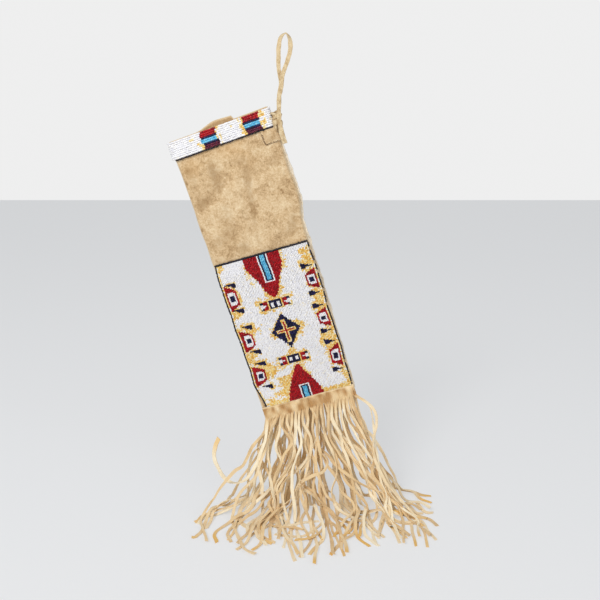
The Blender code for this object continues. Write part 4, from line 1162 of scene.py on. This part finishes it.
# A thong is cut on a curve, out of a piece of hide wider than itself
THONG_COLUMNS = 5
LASHING_TURNS = 2.6
LASHING_AXIS = ((-0.0122, -0.0030, -0.0905), (-0.0098, -0.0040, -0.1075))
LASHING_REACH = (0.0044, 0.0060)
LASHING_WIDTH = 0.0074
LASHING_STEPS = 14
LASHING_SLANT = 0.0016
LASHING_THICKNESS = 0.0024
TAIL_THICKNESS = 0.0014
TAIL_POINTS = ((-0.0086, -0.0040, -0.086), (-0.0083, -0.0100, -0.093), (-0.0074, -0.0112, -0.103),
               (-0.0056, -0.0104, -0.1125), (-0.0032, -0.0090, -0.1205), (-0.0008, -0.0078, -0.1268))
TAIL_WIDTHS = (0.0048, 0.0050, 0.0052, 0.0060, 0.0066, 0.0054)


def ribbon(name, knots, seed, nodes, thickness, spacing, cup=0.0004, crease_shade=0.35):
    """A flat strap along knots of place, way across and width."""
    spots, line = smooth_line(knots, spacing)
    points = strip_rows(line[:, :3], unit(line[:, 3:6]), line[:, 6], spots, seed, THONG_COLUMNS, cup)
    faces = grid_faces(0, len(spots), THONG_COLUMNS)
    piece = mesh_piece(name, points.reshape(-1, 3), faces, THONG_HIDE)
    edge = [max(abs(column / (THONG_COLUMNS - 1) * 2 - 1) - 0.7, 0.0) for column in range(THONG_COLUMNS)]
    # Painted shade in the thong's creases, from noise
    crease_shades = [(noise.noise(Vector(point) * 240) + 0.1) * 2 * crease_shade for point in points.reshape(-1, 3)]
    point_values(piece, "wear_and_highlight", edge * len(spots))
    point_values(piece, "shadow", np.clip(crease_shades, 0.0, 1.0))
    thicken(piece, thickness, thickness / 6)
    keep_corners()
    settle(piece, "thong", *nodes)


def loop_knots():
    """The strap's way up, over and down again, turning flat where it bends over at the top."""
    apart = THONG / 2 + GAP
    over = Vector((0, 0, THONG / 2))
    start = Vector(LOOP_ROOT)
    back = [Vector((x, apart, z)) for x, z in LOOP_STEM]
    front = [Vector((x, -apart, z)) for x, z in LOOP_STEM]
    rise = [Vector((x, apart * (z < LOOP_JOIN), z)) for x, z in reversed(LOOP_LEFT)]
    fall = [Vector((x, -apart * (z < LOOP_JOIN), z)) for x, z in LOOP_RIGHT]
    places = [start + Vector((0, apart, 0)), *back[::-1], *rise, over, *fall, *front]
    places.append(start - Vector((0, apart, 0)))
    knots = []
    for i, place in enumerate(places):
        along = (places[min(i + 1, len(places) - 1)] - places[max(i - 1, 0)]).normalized()
        turn = ease((place - over).length / LOOP_TURN)
        level = Vector((0, 1, 0))
        across = (level * (1 - turn) + along.cross(level).normalized() * turn).normalized()
        knots.append((*place, *across, THONG_WIDTH * (1.0 + 0.08 * noise.noise(place * 60))))
    return knots


def make_loop():
    ribbon("thong_loop", loop_knots(), 41, ["hanging_loop"], THONG, 0.0016)


def make_knot():
    """The thong wound round its own ends and the bag's corner, and the tail that is left over."""
    knots = []
    steps = round(LASHING_TURNS * LASHING_STEPS)
    wide, deep = LASHING_REACH
    for step in range(steps + 1):
        share = step / steps
        turn = 2 * math.pi * LASHING_TURNS * share + 0.6
        middle = blend(np.array(LASHING_AXIS[0]), np.array(LASHING_AXIS[1]), share)
        bulge = 1 + 0.16 * math.sin(turn * 1.7 + 1)
        place = middle + (wide * bulge * math.cos(turn), deep * math.sin(turn),
                          LASHING_SLANT * math.cos(turn + 0.4))
        across = np.array((0.5 * math.cos(turn * 1.5), 0.35 * math.sin(turn), -1.0))
        width = LASHING_WIDTH * (1 + 0.20 * math.sin(turn * 1.9 + 2))
        knots.append((*place, *unit(across), width))
    ribbon("thong_lashing", knots, 42, ["loop_knot"], LASHING_THICKNESS, 0.0011, cup=0.0024, crease_shade=2.0)
    knots = []
    for i, (place, width) in enumerate(zip(TAIL_POINTS, TAIL_WIDTHS)):
        across = Vector((1.0, 0.30 - 0.16 * i, 0.30)).normalized()
        knots.append((*place, *across, width))
    ribbon("thong_tail", knots, 43, [], TAIL_THICKNESS, 0.0014, cup=0.0016, crease_shade=1.0)


# Fringe

STRIP_COLUMNS = 3
STRIP_SPACING = 0.0028
STRIP_CUP = 0.0007
STRIP_BEVEL = 0.00018
ROOT_RUN = 0.02
FLOOR_RUN = 0.012
SLANT = 0.5
TWIN = 0.74
FLUTTER = 0.0010
# Lengths over which a strip sways, bobs, twists and changes width
SWAY, BOB, TWIST, SWELL = 0.022, 0.017, 0.030, 0.05
STRIP_TWIST = math.radians(36)
ROUTE_TWIST = math.radians(62)
ROUTE_WIDTH = 0.0036
LEFT_REACH = -0.101
BACK_DRIFT = 0.014
OCHRE_CHANCE = 0.4
OCHRE_REACH = (0.012, 0.045)
ROUTE_SPREAD = 0.010
HEADER_ROWS = 7
# Tone of the header, darkened with painted shade between its pleats
HEADER_TONE = 0.2
PLEAT = 0.0005
RIPPLE = 0.0036
# Where strips run, as places in the picture: hanging, and then lying on the floor.  The front ones come
# from the left by number, and the back ones by their number and 100.
STRIP_ROUTES = {
    1: (((269, 428), (261, 437), (253, 447), (248, 457), (243, 465), (236, 470), (226, 482), (216, 495),
        (208, 507)),
        ((202, 518), (203, 528), (206, 541))),
    2: (((271, 426), (263, 442), (251, 457), (249, 473), (249, 487), (248, 497), (240, 500), (230, 500),
        (219, 504)),
        ((208, 515), (195, 522))),
    3: (((274, 423), (266, 445), (261, 461), (256, 476), (249, 483), (240, 492), (235, 504)),
        ((232, 518), (235, 530), (240, 542), (246, 549), (256, 553))),
    4: (((279, 432), (276, 449), (281, 463), (278, 475), (273, 483), (263, 496), (249, 507)),
        ((239, 519), (230, 529))),
    5: (((282, 425), (291, 442), (283, 457), (276, 476), (272, 497)),
        ((268, 515), (256, 521), (249, 532), (237, 543))),
    6: (((287, 421), (293, 439), (290, 461), (283, 476), (282, 494)),
        ((283, 516), (286, 533), (291, 549), (295, 561))),
    7: (((292, 420), (290, 437), (295, 452), (287, 470), (276, 483), (272, 501)),
        ((274, 518), (269, 524), (257, 531))),
    8: (((296, 421), (294, 445), (291, 463), (283, 476), (276, 490), (271, 506)),
        ((270, 518), (274, 527), (287, 526), (302, 523), (319, 521))),
    9: (((299, 425), (301, 442), (297, 457), (293, 470), (292, 487), (294, 501)),
        ((295, 518), (299, 537), (303, 557))),
    10: (((303, 421), (311, 439), (308, 461), (301, 476), (301, 487), (311, 493), (319, 502)),
        ((323, 515), (315, 529), (301, 536), (287, 536), (275, 534))),
    11: (((308, 420), (305, 445), (309, 461), (304, 480), (301, 494), (305, 507)),
        ((311, 526), (317, 544), (314, 563))),
    12: (((318, 421), (316, 439), (309, 454), (299, 468), (287, 478), (279, 490), (276, 504)),
        ((281, 518), (286, 532), (283, 548))),
    13: (((313, 432), (318, 449), (328, 461), (324, 471), (311, 476), (299, 483), (290, 499), (283, 507)),
        ((276, 517), (270, 528), (271, 539))),
    14: (((317, 423), (318, 445), (322, 466), (319, 483), (320, 494), (324, 507)),
        ((328, 518), (334, 533), (340, 547), (344, 556))),
    15: (((321, 414), (326, 437), (335, 457), (336, 476), (332, 492), (336, 507)),
        ((337, 518), (339, 528), (344, 539), (347, 552))),
    16: (((326, 409), (335, 426), (345, 440), (361, 452), (371, 466), (381, 481), (392, 495), (402, 507)),
        ((408, 518), (412, 532), (417, 546))),
    17: (((329, 416), (330, 437), (340, 454), (350, 470), (353, 487), (356, 504)),
        ((358, 518), (354, 532), (341, 541))),
    18: (((332, 414), (340, 437), (346, 457), (352, 476), (360, 492), (367, 506)),
        ((370, 518), (372, 532), (376, 544))),
    19: (((336, 413), (339, 432), (350, 452), (363, 468), (376, 482), (385, 497)),
        ((382, 518), (378, 536))),
    20: (((340, 411), (345, 432), (358, 456), (366, 476), (371, 494), (380, 507)),
        ((388, 523), (394, 532), (400, 543))),
    21: (((344, 409), (354, 432), (370, 457), (381, 476), (387, 494), (391, 509)),
        ((394, 523), (406, 538))),
    22: (((348, 408), (359, 426), (369, 444), (378, 461), (387, 478), (396, 493), (407, 507)),
        ((420, 520), (429, 532), (436, 540))),
    23: (((353, 406), (363, 426), (375, 440), (385, 456), (394, 475), (401, 488)),
        ((412, 491), (421, 499), (431, 503))),
    24: (((359, 399), (369, 404), (375, 414), (377, 426), (374, 439), (374, 456), (381, 473),
        (392, 490), (404, 504)),
        ((416, 518), (424, 532), (428, 547))),
    100: (((263, 440), (258, 455), (256, 470), (254, 486), (250, 500)),
          ((243, 515), (236, 527), (228, 540))),
    101: (((270, 440), (262, 452), (259, 470), (262, 488)), ((262, 512), (258, 530), (266, 545))),
}


def sight(place):
    """The way in which the camera looks at a place in the picture."""
    right = (place[0] - PICTURE / 2) / PICTURE * SENSOR / LENS
    up = (PICTURE / 2 - place[1]) / PICTURE * SENSOR / LENS
    pitch = math.radians(CAMERA_PITCH)
    return np.array((right, math.cos(pitch) + up * math.sin(pitch), up * math.cos(pitch) - math.sin(pitch)))


def seen_at(place, y):
    """The spot at a depth that the picture shows at a place."""
    way = sight(place)
    return EYE + way * (y - EYE[1]) / way[1]


def seen_on_floor(place, lift):
    """The spot just over the floor that the picture shows at a place."""
    way = sight(place)
    return EYE + way * (FLOOR + lift - EYE[2]) / way[2]


def route_place(line, share):
    """A place part of the way along a line of places in the picture."""
    line = np.array(line, dtype=float)
    steps = np.arange(len(line))
    return np.array([np.interp(share * steps[-1], steps, line[:, i]) for i in (0, 1)])


def twin_route(number):
    """The way of a strip's twin, which strays over to another strip nearby and curls away on the floor."""
    chance = random.Random(number + 900)
    other = number + 3 if number < 22 else number - 3
    drift = chance.uniform(-7, 7)
    if other > 20:
        drift = -abs(drift)
    hanging = []
    for share in np.linspace(0.12, 1.0, 7):
        own, near = (route_place(STRIP_ROUTES[route][0], share) for route in (number, other))
        place = blend(own, near, ease(share))
        sway = 4.5 * math.sin(share * chance.uniform(5, 8) + drift)
        hanging.append((place[0] + drift * share + sway * share, place[1]))
    turn, size = chance.uniform(-0.6, 0.6), chance.uniform(0.6, 0.95)
    first = STRIP_ROUTES[other][1][0]
    lying = []
    for place in STRIP_ROUTES[other][1]:
        x, y = (place[i] - first[i] for i in (0, 1))
        lying.append((first[0] + drift + size * (x * math.cos(turn) - y * math.sin(turn)),
                      first[1] + size * (x * math.sin(turn) * 0.6 + y * math.cos(turn))))
    return hanging, lying


def route_knots(root, seed, hanging, lying):
    """Middle, way across and width of a strip that hangs and lies where the picture shows it."""
    chance = random.Random(seed + 500)
    start = root[:3]
    proud = chance.uniform(0, ROUTE_SPREAD)
    lift = STRIP_THICKNESS * (0.65 + 1.1 * (seed % 4))
    landing = seen_on_floor(lying[0], lift)
    places = [start]
    for i, place in enumerate(hanging):
        share = (i + 1) / (len(hanging) + 1)
        y = blend(start[1], landing[1], share ** 1.5) - proud * math.sin(math.pi * share)
        spot = seen_at(place, y)
        if spot[2] < FLOOR + lift + 0.002:
            spot = seen_on_floor(place, lift + 0.002)
        if np.linalg.norm(spot - start) > 0.009:
            places.append(spot)
    places += [seen_on_floor(place, lift) for place in lying]
    places = np.array(places)
    along = unit(np.gradient(places, axis=0))
    knots = [tuple(root)]
    for place, way in zip(places[1:], along[1:]):
        flat = ease(1 - (place[2] - FLOOR - 0.004) / 0.03)
        facing = blend(np.array((0.0, -1.0, 0.25)), np.array((0.0, -0.1, 1.0)), flat)
        knots.append((*place, *unit(np.cross(facing, way)), ROUTE_WIDTH * chance.uniform(0.82, 1.15)))
    return knots


def header_drop(x):
    """How far down the header is cut into strips."""
    return PANEL_BOTTOM + GAP + HEADER_HEIGHT + HEADER_SLANT * (x - BAG_LEFT) / BAG_WIDTH


def strip_levels(mesh, middle_y):
    """How many rings down its strip each corner of a fringe lies, 0 in the header."""
    level = {}
    for vert in mesh.verts:
        x, y, z = unhang(vert.co)
        if -z < header_drop(x) + GAP and abs(y - middle_y) < HEADER_THICKNESS / 2 + GAP / 10:
            level[vert] = 0
    front = list(level)
    while front:
        reached = []
        for vert in front:
            for edge in vert.link_edges:
                other = edge.other_vert(vert)
                if other not in level:
                    level[other] = level[vert] + 1
                    reached.append(other)
        front = reached
    return level


def solid_strips(node, middle_y):
    """The rings of four corners down each strip of a fringe's solid, from left to right."""
    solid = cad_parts[node]
    mesh = bmesh.new()
    mesh.from_mesh(solid.data)
    mesh.transform(solid.matrix_world)
    bmesh.ops.remove_doubles(mesh, verts=mesh.verts, dist=0.00002)
    level = strip_levels(mesh, middle_y)
    seen = set()
    strips = []
    for vert in mesh.verts:
        if level[vert] != 1 or vert in seen:
            continue
        seen.add(vert)
        strip = [vert]
        for corner in strip:
            for edge in corner.link_edges:
                other = edge.other_vert(corner)
                if level[other] and other not in seen:
                    seen.add(other)
                    strip.append(other)
        roots = {edge.other_vert(corner) for corner in strip for edge in corner.link_edges
                 if not level[edge.other_vert(corner)]}
        rings = [[tuple(corner.co) for corner in roots]]
        for ring in range(1, max(level[corner] for corner in strip) + 1):
            rings.append([tuple(corner.co) for corner in strip if level[corner] == ring])
        strips.append([np.array(ring) for ring in rings])
    mesh.free()
    return sorted(strips, key=lambda rings: unhang(rings[0]).mean(axis=0)[0])


def strip_knots(rings):
    """Middle, way across and width of a strip at each of its rings."""
    knots = []
    last = hang((1.0, 0.0, 0.0))
    for ring in rings:
        middle = ring.mean(axis=0)
        across = np.linalg.svd(ring - middle)[2][0]
        across *= 1 if across @ last > 0 else -1
        width = 2 * abs((ring - middle) @ across).mean()
        knots.append((*middle, *across, width))
        last = across
    return knots


def hide_strip(knots, seed, twist):
    """Rows of points over one strip, and how ochre each row is."""
    chance = random.Random(seed)
    spots, line = smooth_line(knots, STRIP_SPACING)
    middles, across, widths = line[:, :3], unit(line[:, 3:6]), line[:, 6]
    along = unit(np.gradient(middles, axis=0))
    free = np.clip(spots / ROOT_RUN, 0, 1) ** 2
    face = np.cross(along, across)
    low = np.clip((middles[:, 2] - FLOOR) / FLOOR_RUN, 0.25, 1)
    middles = middles + across * (waver(seed, spots, SWAY) * FLUTTER * free)[:, None]
    middles = middles + face * (waver(seed + 0.5, spots, BOB) * FLUTTER * free * low)[:, None]
    turn = waver(seed + 0.7, spots, TWIST) * twist * free * low
    across = across * np.cos(turn)[:, None] + face * np.sin(turn)[:, None]
    widths = widths * (1 + 0.12 * waver(seed + 0.2, spots, SWELL) * free)
    points = strip_rows(middles, across, widths, spots, seed, STRIP_COLUMNS, STRIP_CUP)
    slant = chance.uniform(-SLANT, SLANT)
    for column in range(STRIP_COLUMNS):
        reach = column / (STRIP_COLUMNS - 1) - 0.5
        points[-1, column] += along[-1] * widths[-1] * reach * slant
    points[..., 2] = np.maximum(points[..., 2], FLOOR + STRIP_THICKNESS * 0.55)
    ochre = np.zeros(len(spots))
    if chance.random() < OCHRE_CHANCE or seed == 0:
        reach = chance.uniform(*OCHRE_REACH)
        ochre = np.clip((spots - spots[-1] + reach) / reach * 1.5, 0, 1) * chance.uniform(0.5, 1.0)
    return points, ochre


def half_knots(knots, half, seed):
    """One of two narrow strips cut side by side where the solid has one, drifting apart lower down."""
    drift = random.Random(seed + 70).uniform(-0.3, 1.0) * BACK_DRIFT * half
    halved = []
    for i, knot in enumerate(knots):
        knot = np.array(knot)
        share = i / (len(knots) - 1)
        knot[:3] += half * knot[3:6] * knot[6] / 4
        knot[0] += drift * share ** 1.5
        knot[0] = max(knot[0], LEFT_REACH + (knot[0] - LEFT_REACH) * 0.3)
        knot[6] *= blend(0.5, TWIN, min(share * 4, 1.0))
        halved.append(tuple(knot))
    return halved


def fringe_strips(node, middle_y, front):
    """Every strip of a fringe from left to right, cut two to each of its solid's."""
    laid = []
    for number, rings in enumerate(solid_strips(node, middle_y), 0 if front else 100):
        knots = strip_knots(rings)
        if number == 0:
            laid.append(hide_strip(knots, number, STRIP_TWIST))
            continue
        for half in (-1, 1):
            seed = number * 2 + (half > 0)
            cut = half_knots(knots, half, seed)
            if number in STRIP_ROUTES and half < 0:
                cut = route_knots(cut[0], seed, *STRIP_ROUTES[number])
            elif front:
                cut = route_knots(cut[0], seed, *twin_route(number))
            laid.append(hide_strip(cut, seed, ROUTE_TWIST if front else STRIP_TWIST))
    return laid


def make_fringe(node, front):
    """One strip of hide: its header, and the strips cut in it down to the floor."""
    away = GAP + HEADER_THICKNESS / 2
    middle_y = FRONT - away if front else FRONT + FOOT_DEPTH + away
    laid = fringe_strips(node, middle_y, front)
    foot = unhang(np.concatenate([points[0] for points, ochre in laid]))
    columns = len(foot)
    points, tone = [], []
    for row in range(HEADER_ROWS):
        share = row / (HEADER_ROWS - 1)
        for column, (x, y, z) in enumerate(foot):
            ripple = noise.noise(Vector((x * 150, share * 1.3, middle_y * 50)))
            pleat = PLEAT * math.sin(column * 2 * math.pi / STRIP_COLUMNS) + RIPPLE * ripple
            y = blend(middle_y, y, share ** 2) - pleat * min(share * 3, 1) * (1 - share * 0.6)
            top = PANEL_BOTTOM + GAP + panel_slip(x) * front
            points.append(hang((x, y, -blend(top, -z, share))))
            # Top row lighter; below it painted highlight and painted shade that follow the header's ripples
            tone.append(0.7 if row == 0 else HEADER_TONE + 0.55 * ripple)
    ochre = [0.0] * len(points)
    faces = grid_faces(0, HEADER_ROWS, columns)
    for number, (grid, ends) in enumerate(laid):
        root = (HEADER_ROWS - 1) * columns + number * STRIP_COLUMNS
        first = len(points)
        shade = 0.28 + 0.72 * random.Random(number * 3 + front).random() if number or not front else 0.95
        points.extend(grid[1:].reshape(-1, 3))
        ochre.extend(np.repeat(ends[1:], STRIP_COLUMNS))
        # Each strip darkens towards its root with painted shade between the pleats
        tones = [blend(HEADER_TONE, shade, min(row / 6, 1.0)) for row in range(1, len(grid))]
        tone.extend(np.repeat(tones, STRIP_COLUMNS))
        faces += [(root + i, first + i, first + i + 1, root + i + 1) for i in range(STRIP_COLUMNS - 1)]
        faces += grid_faces(first, len(grid) - 1, STRIP_COLUMNS)
    piece = mesh_piece("hide_" + node, points, faces, FRINGE_HIDE)
    point_values(piece, "ochre", ochre)
    point_values(piece, "tone", tone)
    thicken(piece, STRIP_THICKNESS, STRIP_BEVEL)
    keep_corners()
    widths = [np.linalg.norm(grid[4:, -1] - grid[4:, 0], axis=1).mean() for grid, ends in laid]
    settle(piece, "fringe", node)


# Light, floor and camera

PALE = (0.86, 0.86, 0.86, 1.0)
FLOOR_SEEN = (0.84, 0.85, 0.86, 1.0)
SKY = (0.92, 0.95, 1.0, 1.0)
SKY_STRENGTH = 0.46
AIM = (0, 0, -0.3)


def add_lamp(name, place, size, power):
    """A soft round lamp turned to the middle of the bag."""
    light = bpy.data.lights.new(name, "AREA")
    light.shape = "DISK"
    light.size = size
    light.energy = power
    lamp = bpy.data.objects.new(name, light)
    bpy.context.collection.objects.link(lamp)
    lamp.location = place
    lamp.rotation_euler = (Vector(AIM) - Vector(place)).to_track_quat("-Z", "Y").to_euler()


def set_floor():
    """A pale floor on which the fringe lies."""
    bpy.ops.object.select_all(action="DESELECT")
    bpy.ops.mesh.primitive_plane_add(size=8, location=(0, 0, FLOOR))
    floor = bpy.context.object
    floor.name = "floor"
    bpy.ops.object.transform_apply(location=True)
    paint = Finish("pale floor", 0.9, Base_Color=PALE)
    paint.lighten_for_camera(FLOOR_SEEN, 0.55)
    floor.data.materials.append(paint.material)


def set_backdrop():
    """Even light from all round, and a plain pale ground where the camera looks past the bag."""
    world = bpy.data.worlds.new("studio")
    bpy.context.scene.world = world
    world.use_nodes = True
    tree = world.node_tree
    sky = tree.nodes["Background"]
    sky.inputs["Color"].default_value = SKY
    sky.inputs["Strength"].default_value = SKY_STRENGTH
    shown = tree.nodes.new("ShaderNodeBackground")
    shown.inputs["Color"].default_value = PALE
    choose = tree.nodes.new("ShaderNodeMixShader")
    tree.links.new(seen_straight(tree), choose.inputs["Fac"])
    tree.links.new(sky.outputs["Background"], choose.inputs[1])
    tree.links.new(shown.outputs["Background"], choose.inputs[2])
    tree.links.new(choose.outputs["Shader"], tree.nodes["World Output"].inputs["Surface"])


def set_camera():
    camera = bpy.data.cameras.new("camera")
    camera.lens = LENS
    camera.sensor_width = SENSOR
    eye = bpy.data.objects.new("camera", camera)
    bpy.context.collection.objects.link(eye)
    eye.location = EYE
    eye.rotation_euler = (math.radians(90 - CAMERA_PITCH), 0, 0)
    bpy.context.scene.camera = eye
    bpy.context.scene.view_settings.view_transform = "Standard"


set_floor()
set_backdrop()
add_lamp("key", (-0.9, -1.5, 1.0), 0.9, 24)
add_lamp("fill", (1.4, -1.3, 0.2), 1.2, 7)
set_camera()
make_hide()
make_seam()
make_patch()
make_stitches()
bead_panel()
panel_edge()
bead_band()
band_edge()
make_fringe("fringe_front", True)
make_fringe("fringe_back", False)
make_loop()
make_knot()
